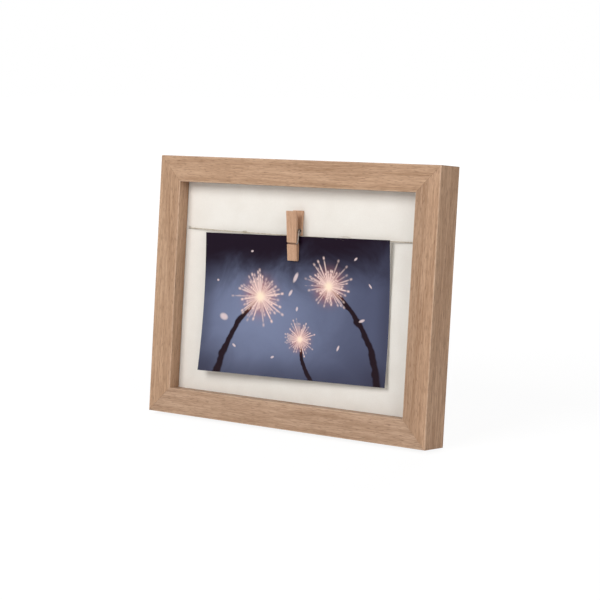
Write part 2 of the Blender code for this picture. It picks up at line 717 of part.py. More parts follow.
def make_print(holder):
    """The hanging print, curled lengthwise and twisted below the peg's jaws."""
    shape = bmesh.new()
    bmesh.ops.create_grid(shape, x_segments=PRINT_COLUMNS, y_segments=PRINT_ROWS, size=0.5)
    for vertex in shape.verts:
        across_share = vertex.co.x
        down_share = 0.5 - vertex.co.y
        hollow = 4 * PRINT_CURL * down_share * (1 - down_share)
        depth = hollow - PRINT_RISE * down_share + PRINT_TWIST * across_share * down_share
        vertex.co = (across_share * PRINT_WIDTH, depth, -down_share * PRINT_HEIGHT)
    bmesh.ops.recalc_face_normals(shape, faces=shape.faces)
    mesh = bpy.data.meshes.new("photo_print")
    shape.to_mesh(mesh)
    shape.free()
    paper = finish("print_paper", DUSK_COLOUR_SHARES, 0.25)
    top = Vector((0, PRINT_TOP_DEPTH, PRINT_TOP_HEIGHT))
    sheet = place("photo_print", mesh, paper, holder, top - holder.location, (0, PRINT_TURN, 0))
    solid = sheet.modifiers.new("paper", "SOLIDIFY")
    solid.thickness = PRINT_THICK
    solid.offset = 0


# Strut and its hinge

def leaf_outline(height, way):
    """Side view of a hinge leaf: a knuckle with a plate tangent to it; way is 1 for the board's."""
    inner = KNUCKLE_RADIUS - LEAF_THICK
    join = math.sqrt(KNUCKLE_RADIUS ** 2 - inner ** 2)
    start = math.pi - math.atan2(join, inner)
    outline = [(-KNUCKLE_RADIUS, height), (-inner, height)]
    for step in range(ROUND_STEPS + 1):
        angle = start - (start + math.pi) * step / ROUND_STEPS
        outline.append((KNUCKLE_RADIUS * math.cos(angle), KNUCKLE_RADIUS * math.sin(angle)))
    return [(way * depth, way * up) for depth, up in outline]


def pin_bore():
    """The knuckle's bore as an outline."""
    radius = PIN_RADIUS + SEAT_GAP
    angles = [2 * math.pi * step / ROUND_STEPS for step in range(ROUND_STEPS)]
    return [(radius * math.cos(angle), radius * math.sin(angle)) for angle in angles]


def rivet(name, grip, holder, location):
    """A rivet along y with a domed head on each side of what it grips."""
    half = grip / 2 + SEAT_GAP
    profile = [
        (0, half + RIVET_HEAD_THICK),
        (RIVET_HEAD_RADIUS / 2, half + RIVET_HEAD_THICK),
        (RIVET_HEAD_RADIUS, half),
        (RIVET_RADIUS, half),
        (RIVET_RADIUS, -half),
        (RIVET_HEAD_RADIUS, -half),
        (RIVET_HEAD_RADIUS / 2, -half - RIVET_HEAD_THICK),
        (0, -half - RIVET_HEAD_THICK),
    ]
    steel = finish(name + "_steel", STEEL_COLOUR_SHARES, 0.4, 1.0)
    smooth(turned_piece(name, profile, steel, holder, location, (math.radians(90), 0, 0)))


def make_hinge(frame, strut_holder):
    """The two leaves, the pin, the stop tongue and the rivets."""
    bore = pin_bore()
    steel = finish("board_leaf_steel", STEEL_COLOUR_SHARES, 0.4, 1.0)
    mesh = plate_mesh("hinge_board_leaf", leaf_outline(BOARD_LEAF_HEIGHT, 1), HINGE_WIDTH, SIDEWAYS, (bore,))
    board_leaf = place("hinge_board_leaf", mesh, steel, frame, (0, PIVOT_DEPTH, PIVOT_HEIGHT))
    cut = 2 * (KNUCKLE_RADIUS + SEAT_GAP)
    middle_cut = tool("knuckle_cut_middle",
                      box_mesh("knuckle_cut", (HINGE_KNUCKLE_WIDTH + 2 * HINGE_SIDE_GAP, cut, cut)),
                      frame, (0, PIVOT_DEPTH, PIVOT_HEIGHT))
    boolean(board_leaf, middle_cut)

    steel = finish("strut_leaf_steel", STEEL_COLOUR_SHARES, 0.4, 1.0)
    mesh = plate_mesh("hinge_strut_leaf", leaf_outline(STRUT_LEAF_HEIGHT, -1), HINGE_WIDTH, SIDEWAYS, (bore,))
    strut_leaf = place("hinge_strut_leaf", mesh, steel, strut_holder)
    side_width = HINGE_WIDTH / 2
    side_middle = HINGE_KNUCKLE_WIDTH / 2 + side_width / 2
    for side, label in ((-1, "left"), (1, "right")):
        side_cut = tool("knuckle_cut_" + label, box_mesh("side_cut", (side_width, cut, cut)),
                        strut_holder, (side * side_middle, 0, 0))
        boolean(strut_leaf, side_cut)

    tongue_front = -KNUCKLE_RADIUS + LEAF_THICK + SEAT_GAP
    tongue_size = (HINGE_KNUCKLE_WIDTH, LEAF_THICK, TONGUE_HEIGHT - TONGUE_ROOT_HEIGHT)
    tongue_middle = (0, tongue_front + LEAF_THICK / 2, (TONGUE_HEIGHT + TONGUE_ROOT_HEIGHT) / 2)
    tongue = tool("stop_tongue", box_mesh("stop_tongue", tongue_size, tongue_middle), strut_holder,
                  (0, 0, 0), (-STRUT_OPENING, 0, 0))
    boolean(strut_leaf, tongue, "UNION")

    pin_half = HINGE_WIDTH / 2 + SEAT_GAP
    profile = [
        (0, pin_half + PIN_HEAD_THICK),
        (PIN_HEAD_RADIUS, pin_half + PIN_HEAD_THICK / 2),
        (PIN_HEAD_RADIUS, pin_half),
        (PIN_RADIUS, pin_half),
        (PIN_RADIUS, -pin_half),
        (PIN_HEAD_RADIUS, -pin_half),
        (PIN_HEAD_RADIUS, -pin_half - PIN_HEAD_THICK / 2),
        (0, -pin_half - PIN_HEAD_THICK),
    ]
    steel = finish("pin_steel", STEEL_COLOUR_SHARES, 0.3, 1.0)
    smooth(turned_piece("hinge_pin", profile, steel, frame, (0, PIVOT_DEPTH, PIVOT_HEIGHT),
                        (0, math.radians(90), 0)))

    board_grip = BACK_BOARD_THICK + SEAT_GAP + LEAF_THICK
    strut_grip = LEAF_THICK + SEAT_GAP + STRUT_BACK - STRUT_FRONT
    for side, label in ((-1, "left"), (1, "right")):
        x = side * RIVET_SPREAD
        high = PIVOT_HEIGHT + BOARD_LEAF_HEIGHT - RIVET_FROM_LEAF_END
        low = -STRUT_LEAF_HEIGHT + RIVET_FROM_LEAF_END
        leaf_hole = tool("leaf_rivet_hole_" + label, rod_mesh("leaf_hole", RIVET_RADIUS + SEAT_GAP, cut),
                         frame, (x, PIVOT_DEPTH - KNUCKLE_RADIUS, high))
        boolean(board_leaf, leaf_hole)
        rivet("board_rivet_" + label, board_grip, frame, (x, BACK_BOARD_FRONT + board_grip / 2, high))
        strut_hole = tool("strut_rivet_hole_" + label,
                          rod_mesh("strut_hole", RIVET_RADIUS + SEAT_GAP, 2 * cut), strut_holder, (x, 0, low))
        boolean(strut_leaf, strut_hole)
        rivet("strut_rivet_" + label, strut_grip, strut_holder, (x, STRUT_FRONT + strut_grip / 2, low))
        yield strut_hole


def make_strut(holder, rivet_holes):
    """The tapered strut, its foot cut level with the table when it stands open."""
    corners = [
        (-STRUT_TOP_WIDTH / 2, STRUT_TOP, STRUT_CORNER_RADIUS),
        (-STRUT_FOOT_WIDTH / 2, STRUT_FOOT, STRUT_CORNER_RADIUS),
        (STRUT_FOOT_WIDTH / 2, STRUT_FOOT, STRUT_CORNER_RADIUS),
        (STRUT_TOP_WIDTH / 2, STRUT_TOP, STRUT_CORNER_RADIUS),
    ]
    middle = (STRUT_FRONT + STRUT_BACK) / 2
    mesh = plate_mesh("strut", rounded(corners), STRUT_BACK - STRUT_FRONT)
    for vertex in mesh.vertices:
        depth = vertex.co.y + middle
        vertex.co.z -= depth * math.tan(STRUT_LEAN) * vertex.co.z / STRUT_FOOT
    hardboard = finish("strut_hardboard", HARDBOARD_COLOUR_SHARES, 0.7)
    strut = place("strut", mesh, hardboard, holder, (0, middle, 0))
    for hole in rivet_holes:
        boolean(strut, hole)


def build():
    """Make every piece and lean the frame back on its strut."""
    front_most = FRONT_EDGE_RADIUS * (math.cos(LEAN) + math.sin(LEAN) - 1)
    pivot_back = PIVOT_DEPTH * math.cos(LEAN) + PIVOT_HEIGHT * math.sin(LEAN)
    foot_reach = STRUT_BACK / math.cos(STRUT_LEAN) + PIVOT_RISE * math.tan(STRUT_LEAN)
    middle = (front_most + pivot_back + foot_reach) / 2
    frame = empty("lean", None, (0, -middle, FRAME_DEPTH * math.sin(LEAN)), -LEAN)
    peg_place = (0, PEG_DEPTH, PEG_HEIGHT)
    peg = empty("peg_slide_axis", frame, peg_place, PEG_TILT)
    peg_front = empty("peg_squeeze_axis", frame, peg_place, PEG_TILT)
    paper = empty("print_slide_axis", frame, peg_place)
    strut = empty("strut_pivot", frame, (0, PIVOT_DEPTH, PIVOT_HEIGHT), STRUT_OPENING)

    rails = make_rails(frame)
    make_v_nails(frame, rails)
    make_boards(frame)
    make_tabs(frame)
    make_hanger(frame, rails["top"])
    make_twine(frame)
    make_legs(peg, peg_front)
    make_spring(peg)
    make_print(paper)
    make_strut(strut, list(make_hinge(frame, strut)))


build()
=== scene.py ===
"""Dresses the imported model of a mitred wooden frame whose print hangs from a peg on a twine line."""
import itertools
import logging
import math
import random
from dataclasses import dataclass
from enum import Enum
from typing import Iterable, Sequence

import bmesh
import bpy
from mathutils import Matrix, Vector


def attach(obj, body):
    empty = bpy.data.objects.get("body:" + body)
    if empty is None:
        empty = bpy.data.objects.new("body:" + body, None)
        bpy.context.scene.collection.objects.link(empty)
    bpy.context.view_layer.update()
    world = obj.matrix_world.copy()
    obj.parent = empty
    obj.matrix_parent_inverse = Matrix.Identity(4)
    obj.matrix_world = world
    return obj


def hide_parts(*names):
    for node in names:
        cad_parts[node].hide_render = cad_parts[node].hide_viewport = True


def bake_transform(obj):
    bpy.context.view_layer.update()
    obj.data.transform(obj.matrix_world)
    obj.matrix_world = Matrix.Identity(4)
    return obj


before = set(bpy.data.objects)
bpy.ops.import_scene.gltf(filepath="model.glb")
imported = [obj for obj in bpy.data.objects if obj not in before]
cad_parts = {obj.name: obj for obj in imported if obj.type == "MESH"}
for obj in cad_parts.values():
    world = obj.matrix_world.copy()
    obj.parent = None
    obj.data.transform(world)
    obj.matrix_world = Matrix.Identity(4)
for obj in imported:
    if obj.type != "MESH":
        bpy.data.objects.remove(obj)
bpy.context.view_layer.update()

LOG = logging.getLogger("photo_frame")

MM_PER_METRE = 1000.0
NOISE_SPAN = (0.3, 0.7)  # most of a noise lies between these
LEAN = math.radians(6.5)
LEAN_ORIGIN = Vector((0.0, -0.030965, 0.002604))
LEAN_TURN = Matrix.Rotation(-LEAN, 3, "X")
ACROSS = LEAN_TURN @ Vector((1, 0, 0))
INTO = LEAN_TURN @ Vector((0, 1, 0))
UPWARDS = LEAN_TURN @ Vector((0, 0, 1))

Colour = tuple[float, float, float, float]
Socket = bpy.types.NodeSocket
Sockets = dict[str, Socket]
Value = float | Sequence[float] | Socket
Strand = tuple[Sequence[Vector], float | list[float]]


def leaned(x: float, depth: float, height: float) -> Vector:
    """A point of the upright frame, where the leaning frame has it.

    Args:
        x: Distance to the right of the middle.
        depth: Distance behind the front face.
        height: Distance above the bottom edge.

    Returns:
        The point in the model's own axes.
    """
    return LEAN_ORIGIN + LEAN_TURN @ Vector((x, depth, height))


def tone(red: int, green: int, blue: int) -> Colour:
    """A screen colour as a linear one.

    Args:
        red: Red from 0 to 255.
        green: Green from 0 to 255.
        blue: Blue from 0 to 255.

    Returns:
        Linear red, green and blue with an alpha of one.
    """
    def linear(level: int) -> float:
        """One channel made linear."""
        share = level / 255
        return share / 12.92 if share <= 0.04045 else ((share + 0.055) / 1.055) ** 2.4
    return (linear(red), linear(green), linear(blue), 1.0)


def shaded(colour: Sequence[float], shade: Sequence[float]) -> Colour:
    """A linear colour with a shade of its own.

    Args:
        colour: Linear red, green, blue and alpha.
        shade: What the first three are multiplied by.

    Returns:
        The new colour, with the same alpha.
    """
    red, green, blue = (level * share for level, share in zip(colour, shade))
    return (red, green, blue, colour[3])


class NodeBench:
    """Adds nodes to one tree and wires them."""

    def __init__(self, tree: bpy.types.NodeTree) -> None:
        """Keep the tree to work on.

        Args:
            tree: A material's or a group's node tree.
        """
        self.tree = tree

    def feed(self, socket: Socket, value: Value) -> None:
        """Link a socket to another one, or set its own value.

        Args:
            socket: The input to fill.
            value: A socket to link from, or a number, vector or colour.
        """
        if isinstance(value, Socket):
            self.tree.links.new(value, socket)
        else:
            socket.default_value = value

    def node(self, kind: str, **settings: object) -> bpy.types.Node:
        """Add a node.

        Args:
            kind: Blender's name for the type of node.
            settings: Properties to set on it.

        Returns:
            The new node.
        """
        made = self.tree.nodes.new(kind)
        for key, value in settings.items():
            setattr(made, key, value)
        return made

    def maths(self, operation: str, *values: Value) -> Socket:
        """Add a Math node.

        Args:
            operation: The sum to do.
            values: Its one to three inputs.

        Returns:
            The result.
        """
        made = self.node("ShaderNodeMath", operation=operation)
        for socket, value in zip(made.inputs, values):
            self.feed(socket, value)
        return made.outputs[0]

    def plus(self, first: Value, second: Value) -> Socket:
        """One value added to another."""
        return self.maths("ADD", first, second)

    def minus(self, first: Value, second: Value) -> Socket:
        """One value less another."""
        return self.maths("SUBTRACT", first, second)

    def times(self, first: Value, second: Value) -> Socket:
        """One value multiplied by another."""
        return self.maths("MULTIPLY", first, second)

    def over(self, first: Value, second: Value) -> Socket:
        """One value divided by another."""
        return self.maths("DIVIDE", first, second)

    def squared(self, value: Value) -> Socket:
        """A value multiplied by itself."""
        return self.maths("MULTIPLY", value, value)

    def unsigned(self, value: Value) -> Socket:
        """A value without its sign."""
        return self.maths("ABSOLUTE", value)

    def least(self, first: Value, second: Value) -> Socket:
        """The smaller of two values."""
        return self.maths("MINIMUM", first, second)

    def most(self, first: Value, second: Value) -> Socket:
        """The larger of two values."""
        return self.maths("MAXIMUM", first, second)

    def vector(self, operation: str, *values: Value) -> Socket:
        """Add a Vector Math node.

        Args:
            operation: The sum to do; DOT_PRODUCT and LENGTH give a number.
            values: Its inputs.

        Returns:
            The result.
        """
        made = self.node("ShaderNodeVectorMath", operation=operation)
        slots = [made.inputs[0], made.inputs["Scale"]] if operation == "SCALE" else made.inputs
        for socket, value in zip(slots, values):
            self.feed(socket, value)
        return made.outputs["Value" if operation in ("DOT_PRODUCT", "LENGTH") else "Vector"]

    def dot(self, first: Value, second: Value) -> Socket:
        """How far one vector runs along another."""
        return self.vector("DOT_PRODUCT", first, second)

    def span(self, value: Value) -> Socket:
        """A vector's length."""
        return self.vector("LENGTH", value)

    def split(self, value: Value) -> tuple[Socket, Socket]:
        """Take a vector's first two parts.

        Args:
            value: The vector.

        Returns:
            Its X and its Y.
        """
        made = self.node("ShaderNodeSeparateXYZ")
        self.feed(made.inputs["Vector"], value)
        return made.outputs["X"], made.outputs["Y"]

    def noise(self, place: Value, scale: float, detail: float, rough: float = 0.5,
              bend: float = 0.0) -> Socket:
        """Add a Noise Texture.

        Args:
            place: Where to read it.
            scale: Size of its pattern.
            detail: Number of finer layers.
            rough: Strength of the finer layers.
            bend: Distortion.

        Returns:
            The noise, from 0 to 1.
        """
        made = self.node("ShaderNodeTexNoise")
        self.feed(made.inputs["Vector"], place)
        made.inputs["Scale"].default_value = scale
        made.inputs["Detail"].default_value = detail
        made.inputs["Roughness"].default_value = rough
        made.inputs["Distortion"].default_value = bend
        return made.outputs["Fac"]

    def mix(self, share: Value, first: Value, second: Value) -> Socket:
        """Mix two colours.

        Args:
            share: How much of the second colour, from 0 to 1.
            first: The colour below.
            second: The colour on top.

        Returns:
            The mixed colour.
        """
        made = self.node("ShaderNodeMix", data_type="RGBA")
        slots = {slot.identifier: slot for slot in (*made.inputs, *made.outputs)}
        for name, given in (("Factor_Float", share), ("A_Color", first), ("B_Color", second)):
            self.feed(slots[name], given)
        return slots["Result_Color"]

    def ramp(self, value: Value, low: Value, high: Value, start: float = 0.0, end: float = 1.0) -> Socket:
        """Ease from one number to another as a value goes from low to high.

        Args:
            value: What to read.
            low: Where the result is start.
            high: Where the result is end.
            start: The first result.
            end: The last result.

        Returns:
            The eased number.
        """
        made = self.node("ShaderNodeMapRange", interpolation_type="SMOOTHSTEP")
        names = ("Value", "From Min", "From Max", "To Min", "To Max")
        for name, given in zip(names, (value, low, high, start, end)):
            self.feed(made.inputs[name], given)
        return made.outputs["Result"]

    def bump(self, height: Value, depth: float) -> Socket:
        """Turn a height into a normal.

        Args:
            height: The height, from 0 to 1.
            depth: The real depth in metres.

        Returns:
            The bumped normal.
        """
        made = self.node("ShaderNodeBump")
        made.inputs["Distance"].default_value = depth
        self.feed(made.inputs["Height"], height)
        return made.outputs["Normal"]

    def use(self, group: bpy.types.NodeTree, **inputs: Value) -> Sockets:
        """Place a node group.

        Args:
            group: The group to place.
            inputs: Its inputs, with underscores for spaces.

        Returns:
            Its outputs by name.
        """
        made = self.node("ShaderNodeGroup", node_tree=group)
        for name, value in inputs.items():
            self.feed(made.inputs[name.replace("_", " ")], value)
        return {socket.name: socket for socket in made.outputs}


class EffectGroup:
    """A shader node group with named inputs and outputs, made once and used by several finishes."""

    name = ""
    takes: tuple[tuple[str, str, Value], ...] = ()
    gives: tuple[tuple[str, str], ...] = ()

    def tree(self) -> bpy.types.NodeTree:
        """Give the group, made at its first use.

        Returns:
            The group's node tree.
        """
        known = bpy.data.node_groups.get(self.name)
        if known:
            return known
        made = bpy.data.node_groups.new(self.name, "ShaderNodeTree")
        for name, kind, default in self.takes:
            socket = made.interface.new_socket(name, in_out="INPUT", socket_type="NodeSocket" + kind)
            socket.default_value = default
        for name, kind in self.gives:
            made.interface.new_socket(name, in_out="OUTPUT", socket_type="NodeSocket" + kind)
        bench = NodeBench(made)
        start = bench.node("NodeGroupInput")
        end = bench.node("NodeGroupOutput")
        results = self.wire(bench, {socket.name: socket for socket in start.outputs})
        for name, value in results.items():
            bench.feed(end.inputs[name], value)
        return made

    def wire(self, bench: NodeBench, given: Sockets) -> Sockets:
        """Wire the effect.

        Args:
            bench: Where to add nodes.
            given: The group's inputs by name.

        Returns:
            What each output gets.
        """
        raise NotImplementedError


@dataclass(frozen=True)
class GrainLayer:
    """One layer of the grain: how often it changes per millimetre, and what its noise is like."""

    run: float
    cross: float
    detail: float
    rough: float
    bend: float


class GrainEffect(EffectGroup):
    """Wood grain that runs along one direction: drift, lines, fibres and open pores."""

    name = "wood_grain"
    takes = (
        ("Place", "Vector", (0, 0, 0)), ("Along", "Vector", (1, 0, 0)), ("Across", "Vector", (0, 0, 1)),
        ("Deep", "Vector", (0, 1, 0)), ("Seed", "Float", 0.0), ("Fineness", "Float", 1.0),
        ("Light", "Color", (1, 1, 1, 1)), ("Dark", "Color", (0, 0, 0, 1)), ("Pore", "Color", (0, 0, 0, 1)),
    )
    gives = (("Colour", "Color"), ("Height", "Float"), ("Roughness", "Float"))
    drift = GrainLayer(run=0.011, cross=0.12, detail=2.0, rough=0.5, bend=0.6)
    lines = GrainLayer(run=0.026, cross=0.62, detail=4.0, rough=0.6, bend=0.7)
    fibres = GrainLayer(run=0.10, cross=2.1, detail=3.0, rough=0.65, bend=0.4)
    flecks = GrainLayer(run=0.20, cross=1.9, detail=1.0, rough=0.5, bend=0.2)
    line_share = 0.52
    streak_span = (0.38, 0.62)
    streak_share = 0.70
    drift_share = 0.32
    pore_span = (0.56, 0.68)
    pore_share = 0.45
    fibre_rise = 0.7
    pore_fall = 0.5
    roughest = 0.62
    smoothest = 0.46

    def wire(self, bench: NodeBench, given: Sockets) -> Sockets:
        """Wire the grain.

        Args:
            bench: Where to add nodes.
            given: The group's inputs by name.

        Returns:
            The wood's colour, height and roughness.
        """
        fine = bench.times(given["Fineness"], MM_PER_METRE)
        along, across, deep = (bench.times(bench.dot(given["Place"], given[way]), fine)
                               for way in ("Along", "Across", "Deep"))
        along = bench.plus(along, given["Seed"])

        def drawn_out(layer: GrainLayer) -> Socket:
            """Wire one layer's noise, drawn out along the grain.

            Args:
                layer: The layer.

            Returns:
                The noise, from 0 to 1.
            """
            place = bench.node("ShaderNodeCombineXYZ")
            for axis, length, share in (("X", along, layer.run), ("Y", across, layer.cross),
                                        ("Z", deep, layer.cross)):
                bench.feed(place.inputs[axis], bench.times(length, share))
            return bench.noise(place.outputs["Vector"], 1.0, layer.detail, layer.rough, layer.bend)

        drift = drawn_out(self.drift)
        lines = drawn_out(self.lines)
        fibres = drawn_out(self.fibres)
        flecks = drawn_out(self.flecks)
        pores = bench.ramp(flecks, *self.pore_span)
        streaks = bench.plus(bench.times(lines, self.line_share), bench.times(fibres, 1 - self.line_share))
        streaks = bench.times(bench.ramp(streaks, *self.streak_span), self.streak_share)
        figure = bench.plus(streaks, bench.times(bench.ramp(drift, *NOISE_SPAN), self.drift_share))
        wood = bench.mix(bench.least(figure, 1.0), given["Dark"], given["Light"])
        wood = bench.mix(bench.times(pores, self.pore_share), wood, given["Pore"])
        height = bench.minus(bench.times(fibres, self.fibre_rise), bench.times(pores, self.pore_fall))
        return {"Colour": wood, "Height": height,
                "Roughness": bench.ramp(fibres, *NOISE_SPAN, self.roughest, self.smoothest)}


class ArrisEffect(EffectGroup):
    """Masks of painted highlight on the front edges, painted shade at the back of the sight edge, and the
    way in.
    """

    name = "arris_highlight_and_shade"
    takes = (
        ("Place", "Vector", (0, 0, 0)), ("Half Width", "Float", 0.115), ("Half Height", "Float", 0.091),
        ("Face", "Float", 0.018), ("Highlight Width", "Float", 0.001),
    )
    gives = (("Mask", "Float"), ("Back Shade", "Float"), ("Inwards", "Float"))
    uneven_scale = 260.0
    uneven_span = (0.35, 0.65)
    least_highlight = 0.45
    full_highlight_share = 0.2
    back_shade_reach = (0.0006, 0.0003)
    back_shade_depth = (0.003, 0.0125)

    def wire(self, bench: NodeBench, given: Sockets) -> Sockets:
        """Wire the masks.

        Args:
            bench: Where to add nodes.
            given: The group's inputs by name.

        Returns:
            How near each place is to a front edge, how far back it is on the sight edge, and how far
            in from the outer edge it is, from 0 to 1 at the sight edge.
        """
        upright = bench.vector("SUBTRACT", given["Place"], tuple(LEAN_ORIGIN))
        across = bench.unsigned(bench.dot(upright, tuple(ACROSS)))
        height = bench.unsigned(bench.minus(bench.dot(upright, tuple(UPWARDS)), given["Half Height"]))
        depth = bench.unsigned(bench.dot(upright, tuple(INTO)))
        from_outer = bench.least(bench.minus(given["Half Width"], across),
                                 bench.minus(given["Half Height"], height))
        from_edge = bench.least(from_outer, bench.minus(given["Face"], from_outer))
        away = bench.most(depth, bench.unsigned(from_edge))
        uneven = bench.noise(given["Place"], self.uneven_scale, detail=3.0, rough=0.6)
        uneven = bench.ramp(uneven, *self.uneven_span, self.least_highlight, 1.0)
        # painted highlight along the front edges, unevenly strong along them
        near = bench.ramp(away, given["Highlight Width"], bench.times(given["Highlight Width"], self.full_highlight_share))
        # painted shade on the sight edge, deepening towards the board behind it
        from_sight = bench.unsigned(bench.minus(given["Face"], from_outer))
        back_shade = bench.times(bench.ramp(from_sight, *self.back_shade_reach), bench.ramp(depth, *self.back_shade_depth))
        return {"Mask": bench.times(uneven, near), "Back Shade": back_shade,
                "Inwards": bench.over(from_outer, given["Face"])}


class MottleEffect(EffectGroup):
    """Soft blotches with a finer speck on top, for boards, paper and metal."""

    name = "mottle"
    takes = (
        ("Place", "Vector", (0, 0, 0)), ("Blotch", "Float", 100.0), ("Speck", "Float", 1000.0),
        ("Stretch", "Vector", (1, 1, 1)), ("Light", "Color", (1, 1, 1, 1)), ("Dark", "Color", (0, 0, 0, 1)),
        ("Smooth", "Float", 0.3), ("Coarse", "Float", 0.6),
    )
    gives = (("Colour", "Color"), ("Height", "Float"), ("Roughness", "Float"))
    blotch_share = 0.6

    def wire(self, bench: NodeBench, given: Sockets) -> Sockets:
        """Wire the blotches.

        Args:
            bench: Where to add nodes.
            given: The group's inputs by name.

        Returns:
            The surface's colour, height and roughness.
        """
        place = bench.vector("MULTIPLY", given["Place"], given["Stretch"])
        blotch = bench.noise(bench.vector("SCALE", place, given["Blotch"]), 1.0, detail=3.0, rough=0.55,
                             bend=0.3)
        speck = bench.noise(bench.vector("SCALE", place, given["Speck"]), 1.0, detail=2.0, rough=0.6)
        both = bench.plus(bench.times(blotch, self.blotch_share), bench.times(speck, 1 - self.blotch_share))
        both = bench.ramp(both, *NOISE_SPAN)
        coarser = bench.times(both, bench.minus(given["Coarse"], given["Smooth"]))
        return {"Colour": bench.mix(both, given["Dark"], given["Light"]), "Height": speck,
                "Roughness": bench.plus(given["Smooth"], coarser)}


class StalkEffect(EffectGroup):
    """One bowed, tapering stalk of the picture."""

    name = "picture_stalk"
    takes = (
        ("Place", "Vector", (0, 0, 0)), ("Start", "Vector", (0, 0, 0)), ("Way", "Vector", (1, 0, 0)),
        ("Side", "Vector", (0, 1, 0)), ("Length", "Float", 1.0), ("Bow", "Float", 0.0),
        ("Thick", "Float", 0.01),
    )
    gives = (("Mask", "Float"),)
    knob_scale = 11.0
    knob_height = 0.045
    knob_swell = (0.7, 0.6)
    taper = 0.62
    core_share = 0.55
    foot_fade = (-0.01, 0.01)
    top_fade = (1.01, 0.98)

    def wire(self, bench: NodeBench, given: Sockets) -> Sockets:
        """Wire the stroke.

        Args:
            bench: Where to add nodes.
            given: The group's inputs by name.

        Returns:
            Where the stroke lies.
        """
        from_start = bench.vector("SUBTRACT", given["Place"], given["Start"])
        along = bench.over(bench.dot(from_start, given["Way"]), given["Length"])
        off = bench.dot(from_start, given["Side"])
        arch = bench.times(bench.times(along, bench.minus(1.0, along)), 4.0)
        knobs = bench.noise(given["Place"], self.knob_scale, detail=2.0)
        knobbed = bench.times(bench.minus(knobs, 0.5), self.knob_height)
        line = bench.plus(bench.times(arch, given["Bow"]), knobbed)
        tapered = bench.times(given["Thick"], bench.minus(1.0, bench.times(along, self.taper)))
        thin, swell = self.knob_swell
        half = bench.times(tapered, bench.plus(thin, bench.times(knobs, swell)))
        from_line = bench.unsigned(bench.minus(off, line))
        body = bench.ramp(from_line, half, bench.times(half, self.core_share))
        ends = bench.times(bench.ramp(along, *self.foot_fade), bench.ramp(along, *self.top_fade))
        return {"Mask": bench.times(body, ends)}


class SeedHeadEffect(EffectGroup):
    """One seed head of the picture: thin rays of uneven length, tufted at their tips."""

    name = "picture_seed_head"
    takes = (
        ("Place", "Vector", (0, 0, 0)), ("Centre", "Vector", (0, 0, 0)), ("Radius", "Float", 0.2),
        ("Seed", "Float", 0.0),
    )
    gives = (("Rays", "Float"), ("Glow", "Float"), ("Core", "Float"))
    # each layer's number of rays, greatest length and half width
    layers = ((29, 1.0, 0.038), (41, 0.75, 0.034), (19, 0.5, 0.045))
    # each ray stands from here on in its own sector, and over this much of it
    place_from = 0.25
    place_over = 0.5
    shortest = 0.25
    faintest = 0.35
    shaft_full = 0.8
    tuft_half = 0.08
    tuft_swell = 1.5
    core_span = (0.24, 0.04)

    def wire(self, bench: NodeBench, given: Sockets) -> Sockets:
        """Wire the seed head.

        Args:
            bench: Where to add nodes.
            given: The group's inputs by name.

        Returns:
            Where its rays, its glow and its core lie.
        """
        away = bench.vector("SUBTRACT", given["Place"], given["Centre"])
        x, y = bench.split(away)
        angle = bench.maths("ARCTAN2", y, x)
        reach = bench.over(bench.span(away), given["Radius"])

        def ring(count: int, longest: float, half: float) -> Socket:
            """Wire one layer of rays.

            Args:
                count: Their number.
                longest: Their greatest length.
                half: Their half width.

            Returns:
                How strongly the layer shows.
            """
            sector = bench.times(angle, count / math.tau)
            number = bench.plus(bench.maths("FLOOR", sector), bench.times(given["Seed"], count))
            chance = bench.node("ShaderNodeTexWhiteNoise", noise_dimensions="1D")
            bench.feed(chance.inputs["W"], number)
            chances = bench.node("ShaderNodeSeparateColor")
            bench.feed(chances.inputs["Color"], chance.outputs["Color"])
            middle = bench.plus(self.place_from, bench.times(chances.outputs["Red"], self.place_over))
            turn_off = bench.unsigned(bench.minus(bench.maths("FRACT", sector), middle))
            off = bench.times(bench.times(turn_off, math.tau / count), reach)
            length = bench.times(chances.outputs["Green"], 1 - self.shortest)
            length = bench.times(longest, bench.plus(self.shortest, length))
            shaft = bench.times(bench.ramp(off, half, 0.0),
                                bench.ramp(reach, length, bench.times(length, self.shaft_full)))
            from_tip = bench.unsigned(bench.minus(reach, length))
            tuft = bench.times(bench.ramp(off, self.tuft_swell * half, 0.0),
                               bench.ramp(from_tip, self.tuft_half, 0.0))
            strength = bench.plus(self.faintest, bench.times(chances.outputs["Blue"], 1 - self.faintest))
            return bench.times(strength, bench.most(shaft, tuft))

        rays = ring(*self.layers[0])
        for layer in self.layers[1:]:
            rays = bench.most(rays, ring(*layer))
        return {"Rays": rays, "Glow": bench.squared(bench.ramp(reach, 1.0, 0.0)),
                "Core": bench.ramp(reach, *self.core_span)}


class SoftLightEffect(EffectGroup):
    """One soft, drawn-out light of the picture."""

    name = "picture_soft_light"
    takes = (
        ("Place", "Vector", (0, 0, 0)), ("Centre", "Vector", (0, 0, 0)), ("Turn", "Float", 0.0),
        ("Length", "Float", 0.03), ("Width", "Float", 0.01),
    )
    gives = (("Mask", "Float"),)
    core_share = 0.15

    def wire(self, bench: NodeBench, given: Sockets) -> Sockets:
        """Wire the light.

        Args:
            bench: Where to add nodes.
            given: The group's inputs by name.

        Returns:
            Where the light lies.
        """
        turned = bench.node("ShaderNodeVectorRotate", rotation_type="Z_AXIS")
        bench.feed(turned.inputs["Vector"], given["Place"])
        bench.feed(turned.inputs["Center"], given["Centre"])
        bench.feed(turned.inputs["Angle"], given["Turn"])
        x, y = bench.split(bench.vector("SUBTRACT", turned.outputs["Vector"], given["Centre"]))
        along = bench.squared(bench.over(x, given["Length"]))
        across = bench.squared(bench.over(y, given["Width"]))
        return {"Mask": bench.ramp(bench.plus(along, across), 1.0, self.core_share)}


GRAIN = GrainEffect()
ARRIS = ArrisEffect()
MOTTLE = MottleEffect()
STALK = StalkEffect()
SEED_HEAD = SeedHeadEffect()
SOFT_LIGHT = SoftLightEffect()


